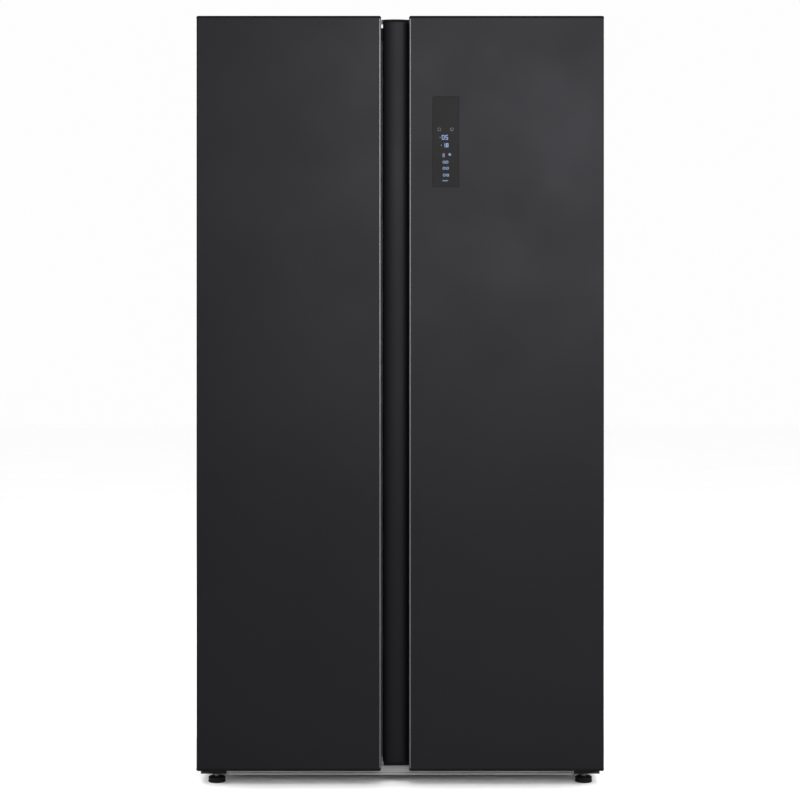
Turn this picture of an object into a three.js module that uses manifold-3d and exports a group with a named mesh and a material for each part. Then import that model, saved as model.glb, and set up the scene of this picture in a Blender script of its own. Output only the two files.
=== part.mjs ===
// A side by side refrigerator: a cabinet with a freezer on the left and a fresh-food
// compartment on the right, each behind its own full-height door.
// Millimetres. +Z is up, -Y is the front, and the origin is on the floor under the
// middle of the overall width and depth.
import * as THREE from "three";
import { mergeVertices } from "three/addons/utils/BufferGeometryUtils.js";
import Module from "manifold-3d";

const wasm = await Module();
wasm.setup();

// ---------------------------------------------------------------- driving dimensions
const WIDTH = 912; // over the two doors
const DEPTH = 650; // door faces to the ribs of the rear panel
const GAP = 0.3; // between pieces that touch

const SIDE = WIDTH / 2;
const FRONT = -DEPTH / 2;
const REAR = DEPTH / 2;

// Doors
const DOOR_BOTTOM = 43;
const DOOR_TOP = 1733;
const DOOR_THICK = 62;
const GASKET_THICK = 8;
const SKIN = 1; // steel sheet
const INSIDE = SKIN + 0.9; // what fills a door starts this far in, clear of the bends
const CAP_LIP = 3; // end cap that shows beyond the skin
const CAP_PLUG = 18; // end cap inside the skin
const DOOR_BACK = FRONT + DOOR_THICK;
const SKIN_BOTTOM = DOOR_BOTTOM + CAP_LIP + GAP;
const SKIN_TOP = DOOR_TOP - CAP_LIP - GAP;
const CORE_BACK = DOOR_BACK - 1 - INSIDE; // back of the foam and the cap plugs
const FREEZER_EDGE = -43; // free edge of the freezer door
const FRIDGE_EDGE = 20; // free edge of the fridge door's front panel
const COLUMN_EDGE = -37.5; // free edge of the recessed grip column beside it
const LIP_BACK = FRONT + 16; // back of the lip that fingers pull on
const HINGE_X = SIDE - 20;
const HINGE_Y = FRONT + 30;
const PIN_RADIUS = 4.5;

// Cabinet
const CAB_SIDE = SIDE - 2;
const CAB_FRONT = DOOR_BACK + GASKET_THICK;
const CAB_BACK = REAR - 4;
const CAB_TOP = 1720;
const SHEET = 1;
const LANDING = 32; // width of the steel frame that the gaskets close on
const RAIL_BOTTOM = 20;
const RAIL_TOP = 42;
const RAIL_END = 392;
const SKIRT = 22; // bottom edge of the side panels
const DECK = RAIL_TOP + GAP;

// Compartments, as the inner faces of their liners
const LINER = 2;
const FREEZER = { left: -399, right: -72 };
const FRIDGE = { left: -8, right: 406 };
const FLOOR_Z = 85;
const CEILING_Z = 1660;
const BACK_WALL = 262;
const STEP_Z = 310; // top of the step over the machine compartment
const STEP_Y = 85; // front of that step
const POST = { left: -70, right: -10 };

// Machine compartment
const MACHINE_FRONT = 132;
const MACHINE_TOP = 262;
const TRAY_Z = 30;
const PLATFORM = TRAY_Z + 1.5 + GAP; // what stands on the machine compartment's shelf

// Fittings
const FIT_FRONT = -140; // front of the drawers, behind the door bins
const SHELF_FRONT = -135;
const DUCT_FRONT = 236;
const COVER_FRONT = 185;
const BIN_BACK = DOOR_BACK + 5;
const BIN_INNER = -150;
const DYKE = -232; // how far the rim of a door's liner reaches into the cabinet
const DYKE_WIDTH = 18;

// ---------------------------------------------------------------- materials
const finish = (color, roughness, metalness = 0, opacity = 1) =>
  new THREE.MeshStandardMaterial({
    color,
    roughness,
    metalness,
    opacity,
    transparent: opacity < 1,
  });
const doorSteel = finish(0x2b2b2d, 0.35, 0.6);
const caseSteel = finish(0x2a2a2c, 0.5, 0.3);
const silverSteel = finish(0x9a9a9c, 0.35, 0.9);
const greySteel = finish(0x8c8f92, 0.45, 0.8);
const blackPlastic = finish(0x141415, 0.45);
const columnPlastic = finish(0x242425, 0.4);
const whitePlastic = finish(0xeef0f1, 0.35);
const rubber = finish(0x6d6f72, 0.8);
const blackRubber = finish(0x101010, 0.7);
const foam = finish(0xe9dca8, 0.9);
const clearPlastic = finish(0xdfe8ec, 0.15, 0, 0.45);
const glass = finish(0xd5e4e4, 0.08, 0, 0.4);
const displayGlass = finish(0x1a1a1c, 0.12);
const enamel = finish(0x161616, 0.4, 0.2);
const copper = finish(0x9c5a33, 0.4, 0.9);
const aluminium = finish(0xc2c5c8, 0.4, 0.9);

// ---------------------------------------------------------------- solids
function solidOf(geometry) {
  const bare = new THREE.BufferGeometry();
  bare.setAttribute("position", geometry.getAttribute("position").clone());
  if (geometry.index) bare.setIndex(geometry.index.clone());
  const merged = mergeVertices(bare, 1e-3);
  return new wasm.Manifold(
    new wasm.Mesh({
      numProp: 3,
      vertProperties: new Float32Array(merged.attributes.position.array),
      triVerts: new Uint32Array(merged.index.array),
    }),
  );
}

function geometryOf(solid) {
  const { vertProperties, triVerts } = solid.getMesh();
  const indexed = new THREE.BufferGeometry();
  indexed.setAttribute(
    "position",
    new THREE.BufferAttribute(new Float32Array(vertProperties), 3),
  );
  indexed.setIndex(new THREE.BufferAttribute(new Uint32Array(triVerts), 1));
  const flat = indexed.toNonIndexed();
  flat.computeVertexNormals();
  return flat;
}

const join = (...pieces) =>
  geometryOf(pieces.map(solidOf).reduce((a, b) => a.add(b)));
const cut = (piece, ...tools) =>
  geometryOf(tools.map(solidOf).reduce((a, b) => a.subtract(b), solidOf(piece)));
const common = (a, b) => geometryOf(solidOf(a).intersect(solidOf(b)));

// A box from its low and high limits along X, Y and Z.
function box([x0, x1], [y0, y1], [z0, z1]) {
  const made = new THREE.BoxGeometry(x1 - x0, y1 - y0, z1 - z0);
  return made.translate((x0 + x1) / 2, (y0 + y1) / 2, (z0 + z1) / 2);
}

const shapeOf = (points) =>
  new THREE.Shape(points.map(([x, y]) => new THREE.Vector2(x, y)));
const extruded = (shape, depth) =>
  new THREE.ExtrudeGeometry(shape, { depth, bevelEnabled: false, curveSegments: 6 });

// Prisms along each axis. The shape's two coordinates are the other two axes, in order.
const prismZ = (shape, z0, z1) => extruded(shape, z1 - z0).translate(0, 0, z0);
function prismX(shape, x0, x1) {
  const turn = new THREE.Matrix4().makeBasis(
    new THREE.Vector3(0, 1, 0),
    new THREE.Vector3(0, 0, 1),
    new THREE.Vector3(1, 0, 0),
  );
  return extruded(shape, x1 - x0).applyMatrix4(turn).translate(x0, 0, 0);
}
function prismY(shape, y0, y1) {
  return extruded(shape, y1 - y0).rotateX(Math.PI / 2).translate(0, y1, 0);
}

// A rectangle with round corners, as a shape.
function roundRect(x0, x1, y0, y1, r) {
  const s = new THREE.Shape();
  s.moveTo(x0 + r, y0);
  s.lineTo(x1 - r, y0);
  s.absarc(x1 - r, y0 + r, r, -Math.PI / 2, 0);
  s.lineTo(x1, y1 - r);
  s.absarc(x1 - r, y1 - r, r, 0, Math.PI / 2);
  s.lineTo(x0 + r, y1);
  s.absarc(x0 + r, y1 - r, r, Math.PI / 2, Math.PI);
  s.lineTo(x0, y0 + r);
  s.absarc(x0 + r, y0 + r, r, Math.PI, Math.PI * 1.5);
  return s;
}

// A bent sheet: a path with a bend radius at each corner, thickened to its left.
function bentSheet(path, thickness, radius, bendSteps = 4) {
  const near = [];
  const far = [];
  const put = (x, y, nx, ny) => {
    near.push([x, y]);
    far.push([x + nx * thickness, y + ny * thickness]);
  };
  path.forEach(([x, y], i) => {
    const before = path[i - 1];
    const after = path[i + 1];
    const into = before && new THREE.Vector2(x - before[0], y - before[1]).normalize();
    const out = after && new THREE.Vector2(after[0] - x, after[1] - y).normalize();
    if (!into || !out) {
      const way = into || out;
      put(x, y, -way.y, way.x);
      return;
    }
    const turn = Math.atan2(into.cross(out), into.dot(out));
    const side = Math.sign(turn);
    const reach = radius * Math.tan(Math.abs(turn) / 2);
    const cx = x - into.x * reach - into.y * radius * side;
    const cy = y - into.y * reach + into.x * radius * side;
    for (let k = 0; k <= bendSteps; k++) {
      const a = (turn * k) / bendSteps;
      const nx = -into.y * Math.cos(a) - into.x * Math.sin(a);
      const ny = into.x * Math.cos(a) - into.y * Math.sin(a);
      put(cx - nx * radius * side, cy - ny * radius * side, nx, ny);
    }
  });
  return shapeOf([...near, ...far.reverse()]);
}

// A solid of revolution about a line along an axis through a point. The profile's
// points are [radius, distance along the axis].
function turned(profile, axis, [x, y, z], segments = 24) {
  const made = new THREE.LatheGeometry(
    profile.map(([r, h]) => new THREE.Vector2(r, h)),
    segments,
  );
  if (axis === "z") made.rotateX(Math.PI / 2);
  if (axis === "x") made.rotateZ(-Math.PI / 2);
  return made.translate(x, y, z);
}
const rod = (radius, from, to, axis, at, segments = 24) =>
  turned([[0, from], [radius, from], [radius, to], [0, to]], axis, at, segments);

// A tray open at the top: a box with walls of one thickness.
function tray([x0, x1], [y0, y1], [z0, z1], wall) {
  return cut(
    box([x0, x1], [y0, y1], [z0, z1]),
    box([x0 + wall, x1 - wall], [y0 + wall, y1 - wall], [z0 + wall, z1 + 1]),
  );
}

const mirrored = (sign, low, high) => (sign < 0 ? [-high, -low] : [low, high]);

// ---------------------------------------------------------------- cabinet shell
function outerCase() {
  const wall = [
    [-CAB_SIDE, SKIRT],
    [-CAB_SIDE, CAB_TOP],
    [CAB_SIDE, CAB_TOP],
    [CAB_SIDE, SKIRT],
  ].reverse();
  const inner = CAB_SIDE - LANDING;
  const frame = shapeOf([
    [-CAB_SIDE + 0.5, SKIRT],
    [-CAB_SIDE + 0.5, CAB_TOP - 5],
    [-CAB_SIDE + 5, CAB_TOP - 0.5],
    [CAB_SIDE - 5, CAB_TOP - 0.5],
    [CAB_SIDE - 0.5, CAB_TOP - 5],
    [CAB_SIDE - 0.5, SKIRT],
    [CAB_SIDE - 1.5, SKIRT],
    [CAB_SIDE - 1.5, DECK + 2],
    [inner, DECK + 2],
    [inner, CAB_TOP - LANDING],
    [-inner, CAB_TOP - LANDING],
    [-inner, DECK + 2],
    [-CAB_SIDE + 1.5, DECK + 2],
    [-CAB_SIDE + 1.5, SKIRT],
  ]);
  return join(
    prismY(bentSheet(wall, SHEET, 6), CAB_FRONT, CAB_BACK - GAP),
    prismY(frame, CAB_FRONT, CAB_FRONT + SHEET),
  );
}

function rearPanel() {
  const ribs = [-330, -110, 110, 330].map((x) =>
    box([x - 9, x + 9], [CAB_BACK + 0.5, REAR], [MACHINE_TOP + 60, CAB_TOP - 60]),
  );
  const sheet = box([-CAB_SIDE, CAB_SIDE], [CAB_BACK, CAB_BACK + 1], [MACHINE_TOP, CAB_TOP]);
  return join(sheet, ...ribs);
}

// The silver rail under the doors, with a rolled bead along each edge, and the post
// between the compartments that both gaskets close on.
function centrePostFrame() {
  const bead = 2;
  const profile = bentSheet(
    [
      [CAB_FRONT + 26, RAIL_BOTTOM],
      [CAB_FRONT - bead, RAIL_BOTTOM],
      [CAB_FRONT - bead, RAIL_BOTTOM + 4],
      [CAB_FRONT, RAIL_BOTTOM + 6],
      [CAB_FRONT, RAIL_TOP - 6],
      [CAB_FRONT - bead, RAIL_TOP - 4],
      [CAB_FRONT - bead, RAIL_TOP],
      [CAB_FRONT + 10, RAIL_TOP],
    ].reverse(),
    1.2,
    1.4,
    2,
  );
  const post = [
    [POST.left, CAB_FRONT + 14],
    [POST.left, CAB_FRONT],
    [POST.right, CAB_FRONT],
    [POST.right, CAB_FRONT + 14],
  ];
  return join(
    prismX(profile, -RAIL_END, RAIL_END),
    prismZ(bentSheet(post, 1.2, 2), DECK + 4, CAB_TOP - LANDING - GAP),
    box([POST.left + 4, POST.right - 4], [CAB_FRONT, CAB_FRONT + 1.2], [RAIL_TOP - 8, DECK + 8]),
  );
}

// The welded base: front landing, deck, step over the machine compartment, two side
// rails with the foot nuts and roller axles, and the shelf that the compressor is on.
const FOOT = { x: 419.5, y: -232, radius: 19.5, height: 14, stud: 5 };
const ROLLER = { x: 430, y: 285, radius: 20, axle: 3, bore: 3.4, width: 24 };
const RAIL_IN = 408; // inner wall of each side rail
function baseFrame() {
  const s = 1.5;
  const side = CAB_SIDE - SHEET - GAP;
  const foamBack = CAB_BACK - 1;
  const top = MACHINE_TOP - GAP;
  const step = MACHINE_FRONT;
  const pieces = [
    box([-side, side], [CAB_FRONT + 1.5, step + s + 1], [DECK, DECK + s]),
    box([1 - side, side - 1], [step, step + s], [DECK + 0.5, top - 0.5]),
    box([-side, side], [step + 0.5, foamBack], [top - s, top]),
    box([-400, 400], [140, 316], [TRAY_Z, TRAY_Z + s]),
  ];
  const landing = CAB_SIDE - LANDING - GAP;
  for (const [x0, x1] of [[-landing, POST.left - GAP], [POST.right + GAP, landing]])
    pieces.push(box([x0, x1], [CAB_FRONT, CAB_FRONT + s + 0.5], [DECK, FLOOR_Z - LINER - 5]));
  for (const sign of [-1, 1]) {
    const span = (low, high) => mirrored(sign, low, high);
    for (const x of [RAIL_IN, side - 1 - s]) {
      pieces.push(box(span(x, x + s), [CAB_FRONT + 5, 317], [SKIRT + 0.5, DECK + 1]));
      pieces.push(box(span(x, x + s), [ROLLER.y - 12, ROLLER.y + 12], [12, SKIRT + 1]));
    }
    pieces.push(box(span(396, side - 0.5), [CAB_FRONT + 2, CAB_FRONT + 6], [SKIRT, DECK + 1]));
    pieces.push(box(span(397, side - 0.5), [step - 2, 316.5], [DECK - s, DECK + 0.7]));
    pieces.push(box(span(398, 404), [141, 315], [TRAY_Z + 0.5, DECK]));
    const [from, to] = span(RAIL_IN + 0.5, side - 1.5);
    pieces.push(rod(ROLLER.axle, from, to, "x", [0, ROLLER.y, ROLLER.radius], 16));
    pieces.push(rod(7, SKIRT + 1, DECK + 1, "z", [sign * FOOT.x, FOOT.y, 0], 20));
  }
  const holes = [-1, 1].map((sign) =>
    rod(FOOT.stud + 0.5, 0, DECK + 4, "z", [sign * FOOT.x, FOOT.y, 0], 16),
  );
  return cut(join(...pieces), ...holes);
}

// One compartment's liner as a solid of its outside or its inside.
function compartment({ left, right }, grow, front) {
  const upper = box(
    [left - grow, right + grow],
    [front, BACK_WALL + grow],
    [STEP_Z - grow, CEILING_Z + grow],
  );
  const lower = box(
    [left - grow, right + grow],
    [front, STEP_Y + grow],
    [FLOOR_Z - grow, STEP_Z + 50],
  );
  return join(upper, lower);
}

// A vacuum-formed liner with its front flange and the ledges that shelves and upper
// drawers rest on, and two ribs on its floor for the lower drawer.
function liner(room, flange, ledges) {
  const shell = cut(
    compartment(room, LINER, CAB_FRONT),
    compartment(room, 0, CAB_FRONT - 10),
  );
  const { left, right } = room;
  const rim = cut(
    box([flange.left, flange.right], [CAB_FRONT, CAB_FRONT + LINER], [flange.bottom, flange.top]),
    box([left, right], [CAB_FRONT - 10, CAB_FRONT + 10], [FLOOR_Z, CEILING_Z]),
  );
  const parts = [shell, rim];
  for (const { z, back, height = 8 } of ledges)
    for (const [x0, x1] of [[left - 1, left + 10], [right - 10, right + 1]])
      parts.push(box([x0, x1], [FIT_FRONT + 5, back], [z - height, z]));
  for (const x of [left + 40, right - 40])
    parts.push(box([x - 5, x + 5], [FIT_FRONT + 5, STEP_Y - 10], [FLOOR_Z - 1, FLOOR_Z + 6]));
  return join(...parts);
}

function cabinetFoam() {
  const side = CAB_SIDE - SHEET - GAP;
  const block = box(
    [-side, side],
    [CAB_FRONT + 16, CAB_BACK - GAP],
    [DECK + 1.5 + GAP, CAB_TOP - SHEET - GAP],
  );
  const corners = [-1, 1].map((sign) =>
    box(mirrored(sign, side - 8, side + 1), [-400, 400], [CAB_TOP - 9, CAB_TOP]),
  );
  return cut(
    block,
    compartment(FREEZER, LINER + GAP, CAB_FRONT - 10),
    compartment(FRIDGE, LINER + GAP, CAB_FRONT - 10),
    box([-500, 500], [MACHINE_FRONT - GAP, 400], [0, MACHINE_TOP + GAP]),
    ...corners,
  );
}

// ---------------------------------------------------------------- doors
// Everything about a door that differs between the two sides. The hinge is at
// sign * HINGE_X, and edge is the free edge of the front panel.
const FREEZER_DOOR = { sign: -1, edge: FREEZER_EDGE, room: FREEZER };
const FRIDGE_DOOR = { sign: 1, edge: FRIDGE_EDGE, room: FRIDGE, display: true };
const LIP_RETURN = 6;

function doorSkin({ sign, edge }) {
  const back = DOOR_BACK - 1;
  const path = [
    [sign * (SIDE - 6), back],
    [sign * SIDE, back],
    [sign * SIDE, FRONT],
    [edge, FRONT],
    [edge, LIP_BACK],
    [edge + sign * LIP_RETURN, LIP_BACK],
  ];
  if (sign > 0) path.reverse();
  return prismZ(bentSheet(path, SKIN, 3), SKIN_BOTTOM, SKIN_TOP);
}

// The finger pocket along the free edge of the freezer door.
const POCKET_X = FREEZER_EDGE - 19;
const POCKET_BACK = -284;
function freezerGrip() {
  const side = FREEZER_EDGE - 0.5;
  const path = [
    [FREEZER_EDGE - LIP_RETURN - 0.5, LIP_BACK],
    [POCKET_X, LIP_BACK],
    [POCKET_X, POCKET_BACK],
    [side, POCKET_BACK],
    [side, DOOR_BACK - 2.3],
  ];
  return prismZ(bentSheet(path, 2.5, 4), SKIN_BOTTOM + 5 + GAP, SKIN_TOP - 5 - GAP);
}

// The recessed column beside the fridge door's front panel. Its face bulges a little
// towards the front, and it runs under the panel's lip as a finger pocket.
const COLUMN = { crest: -12, front: -290, fall: 13, span: 52, pocket: FRIDGE_EDGE + 20 };
const columnFace = (x) => COLUMN.front + COLUMN.fall * ((x - COLUMN.crest) / COLUMN.span) ** 2;
const COLUMN_BOTTOM = DOOR_BOTTOM + 5;
const COLUMN_CAP = 8;
function fridgeGrip() {
  const face = [];
  for (let x = -28; x < COLUMN.pocket - 6; x += 4) face.push([x, columnFace(x)]);
  const path = [
    [COLUMN_EDGE, DOOR_BACK - 2.3],
    [COLUMN_EDGE, columnFace(COLUMN_EDGE)],
    ...face,
    [COLUMN.pocket, columnFace(COLUMN.pocket)],
    [COLUMN.pocket, LIP_BACK],
    [FRIDGE_EDGE + LIP_RETURN + 0.5, LIP_BACK],
  ];
  return prismZ(
    bentSheet(path, 2.5, 4, 3),
    COLUMN_BOTTOM + COLUMN_CAP + GAP,
    DOOR_TOP - COLUMN_CAP - GAP,
  );
}

const DISPLAY = { left: 72.5, right: 131.5, bottom: 1350, top: 1552, depth: 6 };
const displayHole = (grow) =>
  box(
    [DISPLAY.left - grow, DISPLAY.right + grow],
    [FRONT - 5, FRONT + DISPLAY.depth + grow],
    [DISPLAY.bottom - grow, DISPLAY.top + grow],
  );
const displayPanel = () =>
  box([DISPLAY.left, DISPLAY.right], [FRONT, FRONT + DISPLAY.depth], [DISPLAY.bottom, DISPLAY.top]);

// End caps. A cap shows as a thin dark line beyond the skin, its plug closes the skin
// and the foam space, and it takes the hinge pin.
function doorCap({ sign, edge }, top) {
  const outer = sign * SIDE;
  const [x0, x1] = sign < 0 ? [outer, edge] : [edge, outer];
  const freezer = sign < 0;
  const level = (from, to) =>
    top ? [DOOR_TOP - to, DOOR_TOP - from] : [DOOR_BOTTOM + from, DOOR_BOTTOM + to];
  const parts = [];
  const plate = box([x0, x1], [FRONT, DOOR_BACK], level(0, CAP_LIP));
  const [low, high] = top ? [0, DOOR_TOP] : [DOOR_BOTTOM, 3000];
  parts.push(common(plate, prismY(roundRect(x0, x1, low, high, 2.9), FRONT - 5, 0)));
  const plug = freezer
    ? [x0 + INSIDE, POCKET_X - 3]
    : [COLUMN.pocket + 3, x1 - INSIDE];
  const back = CORE_BACK;
  parts.push(box(plug, [FRONT + INSIDE, back], level(CAP_LIP - 0.5, CAP_LIP + CAP_PLUG)));
  if (freezer) {
    parts.push(box([POCKET_X - 5, edge - INSIDE], [FRONT + INSIDE, back], level(2, CAP_LIP + 5)));
  } else {
    const from = top ? 0 : COLUMN_BOTTOM - DOOR_BOTTOM;
    const column = [COLUMN_EDGE, -24, COLUMN.crest, 0, 12, FRIDGE_EDGE].map((x) => [
      x,
      columnFace(x) - 0.5,
    ]);
    const outline = shapeOf([...column, [FRIDGE_EDGE, back], [COLUMN_EDGE, back]]);
    parts.push(prismZ(outline, ...level(from, from + COLUMN_CAP)));
    parts.push(
      box([FRIDGE_EDGE - 5, plug[0] + 5], [LIP_BACK + 4, back], level(CAP_LIP - 1, from + COLUMN_CAP)),
    );
    parts.push(
      box([FRIDGE_EDGE + INSIDE, plug[0] + 5], [FRONT + INSIDE, back], level(CAP_LIP - 1, CAP_LIP + 5)),
    );
    if (top)
      parts.push(box([COLUMN_EDGE - 3.5, COLUMN_EDGE + 2], [-286, -272], level(0, COLUMN_CAP)));
  }
  const pin = [sign * HINGE_X, HINGE_Y, 0];
  const bore = rod(PIN_RADIUS + 0.4, ...level(-5, 17), "z", pin, 16);
  const inEdge = edge + sign * (LIP_RETURN + 1);
  const lipSlot = box(
    [Math.min(edge, inEdge), Math.max(edge, inEdge)],
    [LIP_BACK - 1.5, LIP_BACK + 0.5],
    level(CAP_LIP, CAP_LIP + 6),
  );
  return cut(join(...parts), bore, lipSlot);
}

// Where the rim of a door's liner stands, clear of the compartment's walls.
const RIM_CLEAR = { hinge: 14, free: 18, floor: 12, ceiling: 12 };
function rimOf({ sign, room }) {
  const [hinge, free] = sign < 0 ? [room.left, room.right] : [room.right, room.left];
  const a = hinge - sign * RIM_CLEAR.hinge;
  const b = free + sign * RIM_CLEAR.free;
  return {
    x: [Math.min(a, b), Math.max(a, b)],
    z: [FLOOR_Z + RIM_CLEAR.floor, CEILING_Z - RIM_CLEAR.ceiling],
  };
}

// The rim as a ring, made smaller all over by an inset.
function dyke(door, inset, back) {
  const { x, z } = rimOf(door);
  const within = DYKE_WIDTH - inset;
  return cut(
    box([x[0] + inset, x[1] - inset], [back, DYKE - inset], [z[0] + inset, z[1] - inset]),
    box(
      [x[0] + within, x[1] - within],
      [back - 5, DYKE + 5],
      [z[0] + within, z[1] - within],
    ),
  );
}

function doorFoam(door) {
  const { sign } = door;
  const back = CORE_BACK;
  const z = [SKIN_BOTTOM + CAP_PLUG + GAP, SKIN_TOP - CAP_PLUG - GAP];
  const near = FRONT + INSIDE;
  const rim = dyke(door, 2 + GAP, DOOR_BACK - 5);
  if (sign < 0) return join(box([-SIDE + INSIDE, POCKET_X - 3], [near, back], z), rim);
  const main = box([COLUMN.pocket + 3, SIDE - INSIDE], [near, back], z);
  const behindColumn = box([COLUMN_EDGE + 3, COLUMN.pocket + 5], [-272, back], z);
  return join(cut(join(main, behindColumn), displayHole(GAP)), rim);
}

// The inner liner of a door: a flat sheet, a hollow rim that stands into the
// compartment and the lugs that the bins hang on.
function doorLiner(door, bins) {
  const { sign } = door;
  const free = sign < 0 ? FREEZER_EDGE - 1 : COLUMN_EDGE + 0.5;
  const outer = sign * (SIDE - 1);
  const sheet = box(
    [Math.min(free, outer), Math.max(free, outer)],
    [DOOR_BACK - 1 + GAP, DOOR_BACK + 1.5],
    [SKIN_BOTTOM + 6, SKIN_TOP - 6],
  );
  const rim = rimOf(door);
  const lugs = bins.flatMap((z) =>
    [
      [rim.x[0] + DYKE_WIDTH - 1, rim.x[0] + DYKE_WIDTH + 12],
      [rim.x[1] - DYKE_WIDTH - 12, rim.x[1] - DYKE_WIDTH + 1],
    ].map((x) => box(x, [DOOR_BACK + 1, DYKE - 3], [z - 14, z - GAP])),
  );
  const formed = cut(join(sheet, dyke(door, 0, DOOR_BACK)), dyke(door, 2, DOOR_BACK - 5));
  return join(formed, ...lugs);
}

function doorGasket({ sign }) {
  const outerX = sign * (HINGE_X - 2);
  const innerX = sign < 0 ? POST.left + 20 : POST.right - 20;
  const x0 = Math.min(outerX, innerX);
  const x1 = Math.max(outerX, innerX);
  const z0 = DECK + 14;
  const z1 = CAB_TOP - 12;
  const w = 16;
  return cut(
    box([x0, x1], [DOOR_BACK + 1.5 + GAP, CAB_FRONT - GAP], [z0, z1]),
    box([x0 + w, x1 - w], [DOOR_BACK - 5, CAB_FRONT + 5], [z0 + w, z1 - w]),
  );
}

// A door bin: a tray with a thicker rail along the top of its outer wall.
const BIN_HEIGHT = 118;
function bin(door) {
  const { x } = rimOf(door);
  const [x0, x1] = [x[0] + DYKE_WIDTH + 1, x[1] - DYKE_WIDTH - 1];
  const body = tray([x0, x1], [BIN_BACK, BIN_INNER], [0, BIN_HEIGHT], 2.5);
  const lowBack = box([x0 - 1, x1 + 1], [BIN_BACK - 1, BIN_BACK + 60], [70, BIN_HEIGHT + 1]);
  const rail = box([x0, x1], [BIN_INNER - 7, BIN_INNER], [BIN_HEIGHT - 14, BIN_HEIGHT]);
  return join(cut(body, lowBack), rail);
}

// ---------------------------------------------------------------- hinges
function topHinge(sign) {
  const span = (low, high) => mirrored(sign, low, high);
  const under = DOOR_TOP + 1;
  return join(
    box(span(HINGE_X - 10, HINGE_X + 10), [HINGE_Y, CAB_FRONT + 8], [under, under + 3]),
    rod(10, under, under + 3, "z", [sign * HINGE_X, HINGE_Y, 0]),
    box(span(HINGE_X - 26, HINGE_X + 12), [CAB_FRONT + 5, CAB_FRONT + 8], [CAB_TOP + GAP, under + 3]),
    box(span(HINGE_X - 60, HINGE_X + 12), [CAB_FRONT + 5, CAB_FRONT + 70], [CAB_TOP + GAP, CAB_TOP + 3.3]),
    rod(PIN_RADIUS, DOOR_TOP - 15, under + 1, "z", [sign * HINGE_X, HINGE_Y, 0], 16),
  );
}

const COVER_TOP = CAB_TOP + 25;
function hingeCover(sign) {
  const span = (low, high) => mirrored(sign, low, high);
  const y = [CAB_FRONT + 0.5, CAB_FRONT + 95];
  const z = [CAB_TOP + GAP, COVER_TOP];
  const outside = prismZ(roundRect(...span(CAB_SIDE - 100, CAB_SIDE - 1), ...y, 6), ...z);
  const inside = box(span(CAB_SIDE - 98, CAB_SIDE - 3), [y[0] + 2, y[1] - 2], [CAB_TOP - 5, COVER_TOP - 2]);
  const notch = box(
    span(HINGE_X - 11, HINGE_X + 11),
    [y[0] - 5, y[0] + 5],
    [DOOR_TOP, DOOR_TOP + 5],
  );
  return cut(outside, inside, notch);
}

function bottomHinge(sign) {
  const span = (low, high) => mirrored(sign, low, high);
  const plateZ = [36, 39.5];
  const face = CAB_FRONT - GAP;
  const flange = shapeOf([
    [sign * 450, 42],
    [sign * 450, 31],
    [sign * 428, SKIRT + 0.5],
    [sign * 396, SKIRT + 0.5],
    [sign * 396, 42],
  ]);
  return join(
    box(span(HINGE_X - 40, HINGE_X + 12), [HINGE_Y, face], plateZ),
    rod(11, ...plateZ, "z", [sign * HINGE_X, HINGE_Y, 0]),
    prismY(flange, face - 3.2, face),
    rod(PIN_RADIUS, plateZ[0] + 1, DOOR_BOTTOM + 15, "z", [sign * HINGE_X, HINGE_Y, 0], 16),
  );
}

// ---------------------------------------------------------------- feet and rollers
function foot() {
  const { radius: r, height: h, stud } = FOOT;
  const body = turned(
    [
      [0, 0], [r - 1.5, 0], [r, 1.5], [r, h - 3], [r - 2.5, h - 0.5],
      [9, h], [stud, h], [stud, DECK - 3], [0, DECK - 3],
    ],
    "z",
    [0, 0, 0],
  );
  const notches = [0, 1, 2].map((i) =>
    cut(
      box([-r - 2, r + 2], [-1.6, 1.6], [4, h - 4]),
      box([-r + 1.5, r - 1.5], [-3, 3], [3, h]),
    ).rotateZ((i * Math.PI) / 3),
  );
  return cut(body, ...notches);
}

function roller() {
  const { radius: r, bore, width } = ROLLER;
  const w = width / 2;
  return turned(
    [[bore, -w], [r - 2, -w], [r, -w + 2], [r, w - 2], [r - 2, w], [bore, w], [bore, -w]],
    "x",
    [0, 0, 0],
  );
}

// ---------------------------------------------------------------- cooling system
// A fan wheel: a hub with pitched blades round it, about the Y axis or the X axis.
function fan({ hub, tip, thick, blades }, axis) {
  const parts = [rod(hub, 0, thick, "y", [0, 0, 0])];
  for (let i = 0; i < blades; i++) {
    const blade = new THREE.BoxGeometry(tip - hub + 6, 2, tip * 0.55);
    blade.rotateX(0.6);
    blade.translate((tip + hub - 6) / 2, thick / 2, 0);
    blade.rotateY((2 * Math.PI * i) / blades);
    parts.push(blade);
  }
  const wheel = common(join(...parts), rod(tip, -20, thick + 20, "y", [0, 0, 0], 32));
  return axis === "x" ? wheel.rotateZ(-Math.PI / 2) : wheel;
}

const CONDENSER_FAN = { x: 17, y: 226, z: 131, tip: 68, hub: 21, thick: 20, blades: 5 };
function condenserFanShroud() {
  const { y, z } = CONDENSER_FAN;
  const floor = PLATFORM;
  const plate = cut(
    box([40, 44], [141, 313], [floor, 236]),
    rod(74, 30, 60, "x", [0, y, z], 32),
  );
  const arms = [0, 1, 2].map((i) =>
    box([46, 50], [-4, 4], [0, 82])
      .applyMatrix4(new THREE.Matrix4().makeRotationX((i * 2 * Math.PI) / 3))
      .translate(0, y, z),
  );
  return join(
    plate,
    cut(rod(80, 43, 50, "x", [0, y, z], 32), rod(74, 30, 60, "x", [0, y, z], 32)),
    ...arms,
    rod(24, 45.5, 70, "x", [0, y, z]),
    box([40, 66], [150, 304], [floor, floor + 2]),
  );
}

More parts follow.
